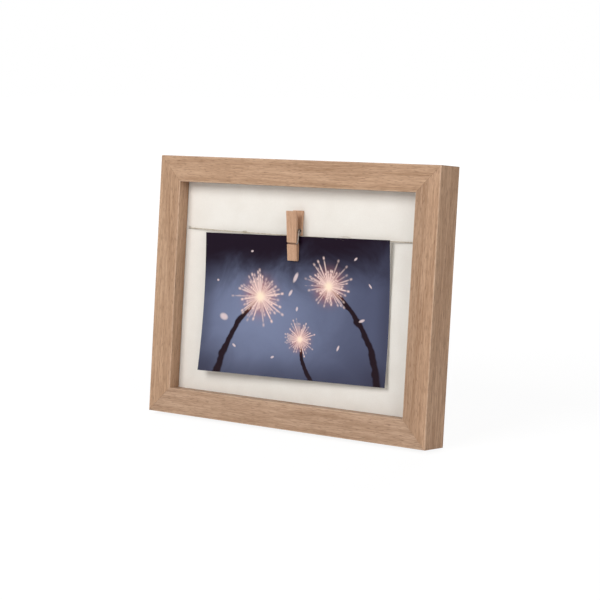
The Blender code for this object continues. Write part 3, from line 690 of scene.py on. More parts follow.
def blank_material(name: str) -> tuple[bpy.types.Material, NodeBench, bpy.types.Node]:
    """Add a material with only its Principled shader.

    Args:
        name: The material's name.

    Returns:
        The material, a bench on its tree and the shader.
    """
    material = bpy.data.materials.new(name)
    material.use_nodes = True
    return material, NodeBench(material.node_tree), material.node_tree.nodes["Principled BSDF"]


class GrainWay(Enum):
    """Which way a piece's grain runs: along the grain, across the face, into the depth."""

    RAIL = "rail"
    STILE = "stile"
    PEG_LEG = "peg_leg"

    def axes(self) -> tuple[Vector, Vector, Vector]:
        """Give the three directions.

        Returns:
            Along, across and into the depth, in the model's own axes.
        """
        if self is GrainWay.RAIL:
            return ACROSS, UPWARDS, INTO
        if self is GrainWay.STILE:
            return UPWARDS, ACROSS, INTO
        return PEG_UP, ACROSS, PEG_BACK


@dataclass(frozen=True)
class WoodFinish:
    """Sanded wood with visible grain."""

    name: str
    way: GrainWay
    seed: float
    light: Colour
    dark: Colour
    pore: Colour
    fineness: float = 1.0
    relief: float = 0.00008
    # colour of a painted highlight on the front edges, given for the moulding only
    edge_highlight: Colour | None = None
    edge_highlight_share: float = 0.65
    # how much pore colour is painted as shade at the back of the sight edge
    back_shade_share: float = 0.55
    # tone at the outer and the sight edge; lighter outwards is a painted sheen
    edges: tuple[float, float] | None = None
    edge_span: tuple[float, float] = (0.1, 1.05)
    specular: float = 0.2

    def material(self) -> bpy.types.Material:
        """Make the finish.

        Returns:
            The new material.
        """
        material, bench, shader = blank_material(self.name)
        along, across, deep = self.way.axes()
        place = bench.node("ShaderNodeTexCoord").outputs["Object"]
        grain = bench.use(GRAIN.tree(), Place=place, Along=along, Across=across, Deep=deep, Seed=self.seed,
                          Fineness=self.fineness, Light=self.light, Dark=self.dark, Pore=self.pore)
        colour = grain["Colour"]
        if self.edge_highlight:
            arris = bench.use(ARRIS.tree(), Place=place)
            # lighter towards the outer edge and side as a painted sheen, and darker towards the sight edge
            if self.edges:
                shade = bench.ramp(arris["Inwards"], *self.edge_span, *self.edges)
                colour = bench.vector("SCALE", colour, shade)
            # painted highlight on the front edges
            colour = bench.mix(bench.times(arris["Mask"], self.edge_highlight_share), colour, self.edge_highlight)
            # painted shade at the back of the sight edge, in the pore colour
            colour = bench.mix(bench.times(arris["Back Shade"], self.back_shade_share), colour, self.pore)
        bench.feed(shader.inputs["Base Color"], colour)
        bench.feed(shader.inputs["Roughness"], grain["Roughness"])
        bench.feed(shader.inputs["Normal"], bench.bump(grain["Height"], self.relief))
        shader.inputs["Specular IOR Level"].default_value = self.specular
        return material


@dataclass(frozen=True)
class MottledFinish:
    """Board, card, paper or metal with soft blotches and a fine speck."""

    name: str
    light: Colour
    dark: Colour
    blotch: float
    speck: float
    smooth: float
    coarse: float
    relief: float
    stretch: tuple[float, float, float] = (1.0, 1.0, 1.0)
    metallic: float = 0.0
    specular: float = 0.4

    def material(self) -> bpy.types.Material:
        """Give the finish, made at its first use.

        Returns:
            The material.
        """
        known = bpy.data.materials.get(self.name)
        if known:
            return known
        material, bench, shader = blank_material(self.name)
        place = bench.node("ShaderNodeTexCoord").outputs["Object"]
        cover = bench.use(MOTTLE.tree(), Place=place, Blotch=self.blotch, Speck=self.speck,
                          Stretch=self.stretch, Light=self.light, Dark=self.dark, Smooth=self.smooth,
                          Coarse=self.coarse)
        bench.feed(shader.inputs["Base Color"], cover["Colour"])
        bench.feed(shader.inputs["Roughness"], cover["Roughness"])
        bench.feed(shader.inputs["Normal"], bench.bump(cover["Height"], self.relief))
        shader.inputs["Metallic"].default_value = self.metallic
        shader.inputs["Specular IOR Level"].default_value = self.specular
        return material


WHITE_BOARD = MottledFinish("matt_white_board", light=tone(236, 232, 225), dark=tone(230, 225, 217),
                            blotch=60, speck=1400, smooth=0.5, coarse=0.7, relief=0.00003)
BROWN_CARD = MottledFinish("brown_card", light=tone(190, 158, 118), dark=tone(158, 126, 90),
                           blotch=130, speck=1800, smooth=0.8, coarse=0.95, relief=0.0001)
HARDBOARD = MottledFinish("pressed_hardboard", light=tone(156, 120, 84), dark=tone(124, 92, 62),
                          blotch=420, speck=2600, smooth=0.5, coarse=0.75, relief=0.0001)
PAPER_BACK = MottledFinish("paper_back", light=tone(240, 239, 236), dark=tone(229, 228, 226),
                           blotch=90, speck=1600, smooth=0.5, coarse=0.7, relief=0.00002)
TWINE_FIBRE = MottledFinish("twine_fibre", light=tone(216, 206, 190), dark=tone(168, 156, 138),
                            blotch=900, speck=4200, smooth=0.8, coarse=0.95, relief=0.00005)
ZINC_STEEL = MottledFinish("zinc_plate", light=tone(206, 208, 210), dark=tone(166, 168, 172),
                           blotch=420, speck=5200, smooth=0.26, coarse=0.46, relief=0.00003,
                           stretch=(1.0, 1.0, 0.25), metallic=1.0)
SPRING_STEEL = MottledFinish("spring_steel", light=tone(152, 142, 134), dark=tone(106, 96, 90),
                             blotch=900, speck=6000, smooth=0.34, coarse=0.5, relief=0.00002,
                             stretch=(0.3, 1.0, 1.0), metallic=1.0)
# darker, browner steel for the bars: painted shade of their grooves and painted reflection of the wood
# around them
GROOVE_SHADED_STEEL = MottledFinish("groove_shaded_steel", light=tone(134, 104, 86), dark=tone(96, 72, 58),
                             blotch=900, speck=6000, smooth=0.4, coarse=0.6, relief=0.00002,
                             stretch=(0.3, 1.0, 1.0), metallic=1.0)
BRASS_PLATE = MottledFinish("brass_plate", light=tone(216, 180, 104), dark=tone(178, 138, 66),
                            blotch=500, speck=5200, smooth=0.22, coarse=0.42, relief=0.00003,
                            stretch=(0.3, 1.0, 1.0), metallic=1.0)


@dataclass(frozen=True)
class Stalk:
    """One stalk of the picture, in picture heights."""

    foot: tuple[float, float]
    top: tuple[float, float]
    bow: float
    thick: float

    def over(self, bench: NodeBench, picture: Value, place: Value, colour: Colour) -> Socket:
        """Draw the stalk over the picture.

        Args:
            bench: Where to add nodes.
            picture: The picture so far.
            place: The place on it.
            colour: The stalk's colour.

        Returns:
            The picture with the stalk.
        """
        way = Vector((self.top[0] - self.foot[0], self.top[1] - self.foot[1], 0))
        length = way.length
        way.normalize()
        stroke = bench.use(STALK.tree(), Place=place, Start=(*self.foot, 0), Way=way,
                           Side=(-way.y, way.x, 0), Length=length, Bow=self.bow, Thick=self.thick)
        return bench.mix(stroke["Mask"], picture, colour)


@dataclass(frozen=True)
class SeedHead:
    """One seed head of the picture, in picture heights."""

    centre: tuple[float, float]
    radius: float
    seed: float


@dataclass(frozen=True)
class DriftingLight:
    """One soft light of the picture, in picture heights, with its turn in radians."""

    centre: tuple[float, float]
    turn: float
    length: float
    width: float


STALKS = (
    Stalk((0.16, -0.06), (0.50, 0.56), 0.07, 0.042),
    Stalk((1.52, -0.06), (1.08, 0.66), -0.10, 0.044),
    Stalk((1.02, -0.06), (0.86, 0.28), 0.03, 0.030),
)
SEED_HEADS = (
    SeedHead((0.86, 0.28), 0.15, 3.0),
    SeedHead((1.08, 0.66), 0.22, 11.0),
    SeedHead((0.50, 0.56), 0.25, 7.0),
)
DRIFTING_LIGHTS = (
    DriftingLight((0.80, 0.71), -1.10, 0.048, 0.018),
    DriftingLight((0.76, 0.60), -1.00, 0.032, 0.013),
    DriftingLight((0.19, 0.40), 0.30, 0.045, 0.030),
    DriftingLight((1.36, 0.44), -0.35, 0.030, 0.012),
    DriftingLight((0.82, 0.49), -1.40, 0.020, 0.011),
    DriftingLight((0.30, 0.20), 0.60, 0.022, 0.010),
    DriftingLight((1.30, 0.86), -0.70, 0.020, 0.009),
    DriftingLight((0.64, 0.14), -0.40, 0.018, 0.010),
    DriftingLight((1.18, 0.24), -1.20, 0.026, 0.010),
    DriftingLight((0.12, 0.66), 0.20, 0.012, 0.010),
    DriftingLight((1.42, 0.68), 0.90, 0.024, 0.008),
    DriftingLight((0.42, 0.88), -0.20, 0.014, 0.009),
)


@dataclass(frozen=True)
class PictureFinish:
    """Glossy print of seed heads at dusk, drawn by formula."""

    name: str = "dusk_print"
    shape_share: float = 1.577
    lightest: tuple[float, float] = (0.50, 0.42)
    night: Colour = tone(25, 12, 28)
    dusk: Colour = tone(120, 129, 158)
    haze: Colour = tone(82, 87, 112)
    stalk: Colour = tone(30, 15, 24)
    ray: Colour = tone(238, 208, 200)
    warm: Colour = tone(206, 108, 70)
    core: Colour = tone(255, 232, 206)
    soft_light: Colour = tone(230, 208, 208)
    soft_light_share: float = 0.8
    glow_share: float = 0.75
    ray_gain: float = 1.1
    cloud_scale: float = 2.6
    cloud_share: float = 0.35
    veil_stretch: tuple[float, float, float] = (0.8, 1.15, 0.0)
    veil_span: tuple[float, float] = (0.2, 0.95)
    night_slope: float = -0.09
    night_drift: float = 0.4
    night_span: tuple[float, float] = (0.48, 0.88)
    side_span: tuple[float, float] = (0.14, 0.0)
    side_share: float = 0.34
    corner_across: tuple[float, float] = (0.55, 0.0)
    corner_up: tuple[float, float] = (0.34, 0.0)
    corner_share: float = 0.6
    foot_span: tuple[float, float] = (0.2, -0.02)
    foot_share: float = 0.42
    gloss: tuple[float, float] = (0.30, 0.38)
    gloss_scale: float = 90.0
    wave_scale: float = 9.0
    wave_depth: float = 0.00004
    specular: float = 0.08

    def background(self, bench: NodeBench, place: Value) -> Socket:
        """Wire the dusk sky behind the seed heads.

        Args:
            bench: Where to add nodes.
            place: The place on the picture, in picture heights.

        Returns:
            The sky's colour.
        """
        across, up = bench.split(place)
        cloud = bench.noise(place, self.cloud_scale, detail=4.0, rough=0.6, bend=0.8)
        from_middle = bench.vector("SUBTRACT", place, (*self.lightest, 0))
        from_middle = bench.span(bench.vector("MULTIPLY", from_middle, self.veil_stretch))
        veil = bench.plus(from_middle, bench.times(cloud, self.cloud_share))
        sky = bench.mix(bench.ramp(veil, *self.veil_span), self.dusk, self.haze)
        dark_top = bench.plus(bench.times(across, self.night_slope), up)
        dark_top = bench.plus(dark_top, bench.times(bench.minus(cloud, 0.5), self.night_drift))
        sky = bench.mix(bench.ramp(dark_top, *self.night_span), sky, self.night)
        from_side = bench.least(across, bench.minus(self.shape_share, across))
        side = bench.ramp(from_side, *self.side_span, 0.0, self.side_share)
        foot_corner = bench.times(bench.ramp(from_side, *self.corner_across),
                                  bench.ramp(up, *self.corner_up, 0.0, self.corner_share))
        edges = bench.most(side, bench.ramp(up, *self.foot_span, 0.0, self.foot_share))
        return bench.mix(bench.most(edges, foot_corner), sky, self.night)

    def material(self) -> bpy.types.Material:
        """Make the finish.

        Returns:
            The new material.
        """
        material, bench, shader = blank_material(self.name)
        sheet_place = bench.node("ShaderNodeUVMap", uv_map="picture").outputs["UV"]
        place = bench.vector("MULTIPLY", sheet_place, (self.shape_share, 1.0, 0.0))
        picture = self.background(bench, place)
        for stalk in STALKS:
            picture = stalk.over(bench, picture, place, self.stalk)
        for drifting in DRIFTING_LIGHTS:
            light = bench.use(SOFT_LIGHT.tree(), Place=place, Centre=(*drifting.centre, 0),
                              Turn=drifting.turn, Length=drifting.length, Width=drifting.width)
            picture = bench.mix(bench.times(light["Mask"], self.soft_light_share), picture, self.soft_light)
        for seed_head in SEED_HEADS:
            head = bench.use(SEED_HEAD.tree(), Place=place, Centre=(*seed_head.centre, 0),
                             Radius=seed_head.radius, Seed=seed_head.seed)
            picture = bench.mix(bench.times(head["Glow"], self.glow_share), picture, self.warm)
            rays = bench.least(bench.times(head["Rays"], self.ray_gain), 1.0)
            picture = bench.mix(rays, picture, self.ray)
            picture = bench.mix(head["Core"], picture, self.core)
        bench.feed(shader.inputs["Base Color"], picture)
        gloss = bench.noise(place, self.gloss_scale, detail=2.0)
        bench.feed(shader.inputs["Roughness"], bench.ramp(gloss, *NOISE_SPAN, *self.gloss))
        waves = bench.noise(place, self.wave_scale, detail=1.0)
        bench.feed(shader.inputs["Normal"], bench.bump(waves, self.wave_depth))
        shader.inputs["Specular IOR Level"].default_value = self.specular
        return material


PEG_TILT = math.radians(3.9)
PEG_PIVOT = Vector((0.0, -0.009746, 0.134952))
PEG_TURN = LEAN_TURN @ Matrix.Rotation(PEG_TILT, 3, "X")
PEG_BACK = PEG_TURN @ Vector((0, 1, 0))
PEG_UP = PEG_TURN @ Vector((0, 0, 1))


def dress(node: str, material: bpy.types.Material) -> None:
    """Give a carried-over piece its finish.

    Args:
        node: The piece's name.
        material: The finish.
    """
    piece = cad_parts[node]
    if not piece.material_slots:
        piece.data.materials.append(material)
    for slot in piece.material_slots:
        slot.material = material
    LOG.info("%s: %s", node, material.name)


def add_piece(name: str, mesh: bpy.types.Mesh, materials: Sequence[bpy.types.Material]) -> bpy.types.Object:
    """Add a new mesh piece to the scene.

    Args:
        name: The piece's name.
        mesh: Its mesh, in the model's own axes.
        materials: Its finishes, in slot order.

    Returns:
        The piece.
    """
    piece = bpy.data.objects.new(name, mesh)
    bpy.context.scene.collection.objects.link(piece)
    for material in materials:
        mesh.materials.append(material)
    LOG.info("%s: %d faces", name, len(mesh.polygons))
    return piece


def sweep(name: str, strands: Iterable[Strand], sides: int) -> bpy.types.Mesh:
    """Round tubes with closed ends along lines of points, as one mesh.

    Args:
        name: The mesh's name.
        strands: Each tube's points, and its radius or the radius at each point.
        sides: Number of sides of each tube.

    Returns:
        The smooth-shaded mesh.
    """
    shape = bmesh.new()
    for points, given in strands:
        radii = given if isinstance(given, list) else [given] * len(points)
        heading = (points[1] - points[0]).normalized()
        side = heading.orthogonal().normalized()
        rings = []
        for index, point in enumerate(points):
            before = points[max(index - 1, 0)]
            after = points[min(index + 1, len(points) - 1)]
            onward = (after - before).normalized()
            side = (heading.rotation_difference(onward) @ side).normalized()
            heading = onward
            other = heading.cross(side)
            ring = []
            for step in range(sides):
                turn = math.tau * step / sides
                outwards = side * math.cos(turn) + other * math.sin(turn)
                ring.append(shape.verts.new(point + outwards * radii[index]))
            rings.append(ring)
        for near, far in zip(rings, rings[1:]):
            for step in range(sides):
                after = (step + 1) % sides
                shape.faces.new((near[step], near[after], far[after], far[step]))
        shape.faces.new(list(reversed(rings[0])))
        shape.faces.new(rings[-1])
    bmesh.ops.recalc_face_normals(shape, faces=shape.faces)
    mesh = bpy.data.meshes.new(name)
    shape.to_mesh(mesh)
    shape.free()
    mesh.shade_smooth()
    return mesh


@dataclass
class Moulding:
    """The four mitred rails and the V nails across their joints."""

    light: Colour = tone(199, 164, 135)
    dark: Colour = tone(160, 125, 97)
    pore: Colour = tone(112, 82, 60)
    # the colour of the painted highlight on the front edges
    edge_highlight: Colour = tone(218, 186, 160)

    def dress(self) -> None:
        """Give each rail its own run and shade of grain and the nails their steel."""
        # each rail's grain way, seed, tone, and its tones at the outer and sight edge; the right stile's
        # lighter outer edge and side are a painted sheen
        rails = {
            "top_rail": (GrainWay.RAIL, 11.0, (1.0, 1.0, 1.0), None),
            "bottom_rail": (GrainWay.RAIL, 530.0, (0.97, 1.01, 1.07), None),
            "left_stile": (GrainWay.STILE, 1040.0, (1.0, 1.0, 1.0), None),
            "right_stile": (GrainWay.STILE, 1570.0, (0.96, 0.95, 0.95), (1.07, 0.85)),
        }
        for node, (way, seed, shade, edges) in rails.items():
            oak = WoodFinish(node + "_oak", way, seed, light=shaded(self.light, shade),
                             dark=shaded(self.dark, shade), pore=self.pore, edge_highlight=self.edge_highlight, edges=edges)
            dress(node, oak.material())
        steel = ZINC_STEEL.material()
        for corner in ("bottom_left", "bottom_right", "top_left", "top_right"):
            dress("v_nail_" + corner, steel)


@dataclass
class Backing:
    """The boards in the rebate, the tabs that hold them, the hanger and the strut."""

    tabs: tuple[str, ...] = ("tab_bottom_left", "tab_bottom_right", "tab_top_left", "tab_top_right",
                             "tab_left", "tab_right")
    hinge: tuple[str, ...] = ("hinge_board_leaf", "hinge_strut_leaf", "hinge_pin", "board_rivet_left",
                              "board_rivet_right", "strut_rivet_left", "strut_rivet_right")
    hanger: tuple[str, ...] = ("sawtooth_hanger", "hanger_nail_left", "hanger_nail_right")

    def dress(self) -> None:
        """Give each board and fitting its finish."""
        dress("display_board", WHITE_BOARD.material())
        dress("packing_card", BROWN_CARD.material())
        for node in ("back_board", "strut"):
            dress(node, HARDBOARD.material())
        for node in self.tabs + self.hinge:
            dress(node, ZINC_STEEL.material())
        for node in self.hanger:
            dress(node, BRASS_PLATE.material())


@dataclass
class TwineLine:
    """Two-ply twine through both board holes, with a knot behind each."""

    thick: float = 0.0008
    hole_x: float = 0.0945
    height: float = 0.1317
    line_depth: float = 0.0096
    peg_depth: float = 0.0070972
    knot_depth: float = 0.0155
    sag: float = 0.0007
    level_half: float = 0.022
    bend_radius: float = 0.0012
    ply_pitch: float = 0.0021
    knot_loop: float = 0.0009
    bend_steps: int = 8
    run_steps: int = 60
    spacing: float = 0.0002
    ply_share: float = 1.12
    hair_count: int = 90
    hair_radius: float = 0.00003
    hair_reach: tuple[float, float] = (0.0007, 0.0016)
    hair_lay: tuple[float, float] = (0.4, 1.6)
    hair_root_share: float = 0.3
    # how far out and along a hair is at its bow, and how far out at its tip, in reaches
    hair_bow: tuple[float, float] = (0.5, 0.45)
    hair_tip: float = 0.8
    most_backwards: float = 0.1
    end_points: int = 30
    knot_radius: float = 0.00045
    knot_steps: int = 48
    knot_breadth: float = 2.6
    knot_flatness: float = 1.6
    slub_x: float = -0.0432
    slub_half: float = 0.0019
    slub_swell: float = 0.5
    # each wave of the yarn's thickness: its share, its radians per metre and its start
    waves: tuple[tuple[float, float, float], ...] = ((0.08, 410.0, 0.0), (0.05, 1130.0, 1.0))
    stray_lift: float = 0.0017
    stray_back: float = 0.0002
    stray_radius: float = 0.00013
    stray_arch: float = 0.7
    # where each stray fibre starts and ends across the frame, and its share of the lift
    stray_spans: tuple[tuple[float, float, float], ...] = (
        (0.0330, 0.0470, 1.0), (0.0362, 0.0450, 0.72), (-0.0466, -0.0402, 0.40),
        (-0.0458, -0.0410, 0.56), (-0.0450, -0.0404, 0.68),
    )

    def swell(self, x: float) -> float:
        """How thick the yarn is at a place along it, against its usual thickness.

        Args:
            x: Distance to the right of the middle.

        Returns:
            The share of its usual thickness.
        """
        swell = 1.0
        for share, rate, start in self.waves:
            swell += share * math.sin(rate * x + start)
        return swell + self.slub_swell * math.exp(-((x - self.slub_x) / self.slub_half) ** 2)

    def route(self) -> list[Vector]:
        """Points of the whole line, from the left knot to the right one.

        Returns:
            The points, in the model's own axes.
        """
        half = [Vector((-self.hole_x, self.knot_depth, self.height))]
        centre_x = self.bend_radius - self.hole_x
        centre_y = self.line_depth + self.bend_radius
        for step in range(self.bend_steps + 1):
            angle = math.radians(90) * step / self.bend_steps
            half.append(Vector((centre_x - self.bend_radius * math.cos(angle),
                                centre_y - self.bend_radius * math.sin(angle), self.height)))
        run = -self.level_half - centre_x
        for step in range(1, self.run_steps + 1):
            along = step / self.run_steps
            eased = along * (2 - along)
            depth = self.line_depth + (self.peg_depth - self.line_depth) * eased
            half.append(Vector((centre_x + run * along, depth, self.height - self.sag * eased)))
        right = [Vector((-point.x, point.y, point.z)) for point in reversed(half)]
        return [leaned(*point) for point in half + right]

    def evenly(self, route: list[Vector]) -> list[Vector]:
        """Points at an even spacing along a route.

        Args:
            route: The route's points.

        Returns:
            The new points, both ends kept.
        """
        reached = [0.0]
        for before, after in zip(route, route[1:]):
            reached.append(reached[-1] + (after - before).length)
        count = round(reached[-1] / self.spacing)
        points = []
        index = 0
        for step in range(count + 1):
            target = reached[-1] * step / count
            while index < len(route) - 2 and reached[index + 1] < target:
                index += 1
            share = (target - reached[index]) / (reached[index + 1] - reached[index])
            points.append(route[index].lerp(route[index + 1], share))
        return points

    def plies(self, line: list[Vector]) -> list[Strand]:
        """Two strands twisted round each other along a line.

        Args:
            line: Evenly spaced points.

        Returns:
            Each ply's points and radius.
        """
        radius = self.thick / 4
        spacing = (line[1] - line[0]).length
        swells = [self.swell(point.x) for point in line]
        strands = []
        for start in (0.0, math.pi):
            ply = []
            for index, point in enumerate(line):
                onward = (line[min(index + 1, len(line) - 1)] - line[max(index - 1, 0)]).normalized()
                side = onward.cross(UPWARDS).normalized()
                other = onward.cross(side)
                turn = start + math.tau * index * spacing / self.ply_pitch
                outwards = side * math.cos(turn) + other * math.sin(turn)
                ply.append(point + outwards * radius * swells[index])
            strands.append((ply, [radius * self.ply_share * swell for swell in swells]))
        return strands

    def loose_fibres(self, line: list[Vector]) -> list[Strand]:
        """Short hairs that stand off the twine.

        Args:
            line: Evenly spaced points.

        Returns:
            Each hair's points and radius.
        """
        chance = random.Random(41)
        hairs = []
        for _ in range(self.hair_count):
            index = chance.randrange(self.end_points, len(line) - self.end_points)
            root = line[index]
            onward = (line[index + 1] - line[index - 1]).normalized()
            aside = Vector((chance.uniform(-1, 1), chance.uniform(-1, 1), chance.uniform(-1, 1)))
            away = onward.cross(aside).normalized()
            if away.dot(INTO) > self.most_backwards:
                away = -away
            reach = chance.uniform(*self.hair_reach)
            lay = chance.choice((-1, 1)) * chance.uniform(*self.hair_lay)
            inside = self.thick * self.hair_root_share
            out, along = self.hair_bow
            bow = root + away * (inside + reach * out) + onward * lay * reach * along
            tip = root + away * (inside + reach * self.hair_tip) + onward * lay * reach
            hairs.append(([root + away * inside, bow, tip], self.hair_radius))
        return hairs

    def strays(self, line: list[Vector]) -> list[Strand]:
        """Longer fibres that have come loose from the twist and bow up off it.

        Args:
            line: Evenly spaced points.

        Returns:
            Each fibre's points and radius.
        """
        strands = []
        for start_x, end_x, share in self.stray_spans:
            near = [point for point in line[::4] if start_x <= point.x <= end_x]
            strand = []
            for index, point in enumerate(near):
                lift = math.sin(math.pi * index / (len(near) - 1)) ** self.stray_arch
                strand.append(point + (UPWARDS * self.stray_lift * share + INTO * self.stray_back) * lift)
            strands.append((strand, self.stray_radius))
        return strands

    def knot(self, side: int) -> list[Vector]:
        """An overhand knot's centreline, behind one hole.

        Args:
            side: Minus one for the left, one for the right.

        Returns:
            The knot's points.
        """
        points = []
        for step in range(self.knot_steps + 1):
            turn = math.tau * step / self.knot_steps
            across = self.knot_loop * (math.sin(turn) + 2 * math.sin(2 * turn)) / self.knot_breadth
            rise = self.knot_loop * (math.cos(turn) - 2 * math.cos(2 * turn)) / self.knot_breadth
            depth = self.knot_loop * -math.sin(3 * turn) / self.knot_flatness
            points.append(leaned(side * self.hole_x + across, self.knot_depth + depth, self.height + rise))
        return points

    def build(self) -> None:
        """Make the twine, its hairs and its knots."""
        fibre = TWINE_FIBRE.material()
        line = self.evenly(self.route())
        fluff = self.loose_fibres(line) + self.strays(line)
        tied = [(self.knot(side), self.knot_radius) for side in (-1, 1)]
        twine = add_piece("twine_two_ply", sweep("twine_two_ply", self.plies(line), 6), [fibre])
        hairs = add_piece("twine_hairs", sweep("twine_hairs", fluff, 4), [fibre])
        knots = add_piece("twine_knots", sweep("twine_knots", tied, 8), [fibre])
        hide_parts("twine")
        for piece in (twine, hairs, knots):
            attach(piece, "root")


@dataclass
class Peg:
    """The two legs and the spring between them, in sizes from the coil's centre."""

    width: float = 0.0078
    above: float = 0.014
    below: float = 0.0197
    handle_outer: float = 0.005
    jaw_outer: float = 0.0026
    groove_below: float = 0.0079
    wire: float = 0.0009
    coil_radius: float = 0.00175
    turns: float = 5.5
    bend_radius: float = 0.0009
    bar_shortfall: float = 0.0005
    gap: float = 0.0003
    bar_steps: int = 12
    bend_steps: int = 10
    arm_steps: int = 8
    coil_steps: int = 32
    wire_sides: int = 12
    light: Colour = tone(209, 170, 141)
    dark: Colour = tone(180, 139, 110)
    pore: Colour = tone(156, 114, 86)

    def placed(self, x: float, depth: float, height: float) -> Vector:
        """A point given from the coil's centre, in the model's own axes."""
        return PEG_PIVOT + PEG_TURN @ Vector((x, depth, height))

    def bar_depth(self) -> float:
        """Depth of the wire bars in their grooves."""
        share = (self.above + self.groove_below) / (self.above + self.below)
        return self.handle_outer + (self.jaw_outer - self.handle_outer) * share - self.wire / 2

    def arm_x(self) -> float:
        """Distance of the side arms from the middle."""
        return self.width / 2 + self.gap + self.wire / 2

    def bar(self, back: int) -> list[Vector]:
        """One bar in its groove, up to where its bend starts.

        Args:
            back: Minus one for the front bar, one for the rear bar.

        Returns:
            The bar's points.
        """
        start = -(self.width / 2 - self.bar_shortfall)
        end = self.arm_x() - self.bend_radius
        bar = []
        for step in range(self.bar_steps + 1):
            x = start + (end - start) * step / self.bar_steps
            bar.append(self.placed(-back * x, back * self.bar_depth(), -self.groove_below))
        return bar

    def twisted_wire(self) -> list[Vector]:
        """Both bends, both side arms and the coil, from the front bar to the rear bar.

        Returns:
            The wire's points.
        """
        arm_x = self.arm_x()
        corner = Vector((arm_x, -self.bar_depth(), -self.groove_below))
        coil_start = Vector((arm_x, -self.coil_radius, 0))
        upwards = (coil_start - corner).normalized()
        sideways = Vector((1, 0, 0))
        centre = corner + (upwards - sideways) * self.bend_radius
        arm = []
        for step in range(self.bend_steps + 1):
            angle = math.radians(90) * step / self.bend_steps
            arm.append(centre + (sideways * math.sin(angle) - upwards * math.cos(angle)) * self.bend_radius)
        bend_end = arm[-1]
        arm += [bend_end.lerp(coil_start, step / self.arm_steps) for step in range(1, self.arm_steps)]
        steps = round(self.turns * self.coil_steps)
        coil = []
        for step in range(steps + 1):
            turn = math.tau * self.turns * step / steps
            coil.append(Vector((arm_x * (1 - 2 * step / steps), -self.coil_radius * math.cos(turn),
                                self.coil_radius * math.sin(turn))))
        rear = [Vector((-point.x, -point.y, point.z)) for point in reversed(arm)]
        return [self.placed(*point) for point in arm + coil + rear]

    def wire_piece(self, name: str, points: list[Vector], finish: MottledFinish) -> bpy.types.Object:
        """One piece of the spring's wire.

        Args:
            name: The piece's name.
            points: The points it follows.
            finish: Its steel.

        Returns:
            The piece, with its slot.
        """
        mesh = sweep(name, [(points, self.wire / 2)], self.wire_sides)
        piece = add_piece(name, mesh, [finish.material()])
        return piece

    def build(self) -> None:
        """Dress the legs and make the spring."""
        for node, seed in (("peg_rear_leg", 2100.0), ("peg_front_leg", 2300.0)):
            beech = WoodFinish(node + "_beech", GrainWay.PEG_LEG, seed, self.light, self.dark, self.pore,
                               fineness=2.2, relief=0.00004)
            dress(node, beech.material())
        coil = self.wire_piece("spring_coil", self.twisted_wire(), SPRING_STEEL)
        # both bars take steel with painted groove shade and painted reflection of the wood
        front = self.wire_piece("spring_front_bar", self.bar(-1), GROOVE_SHADED_STEEL)
        rear = self.wire_piece("spring_rear_bar", self.bar(1), GROOVE_SHADED_STEEL)
        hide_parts("peg_spring")
        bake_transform(coil)
        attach(front, "peg_front")
        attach(rear, "peg")


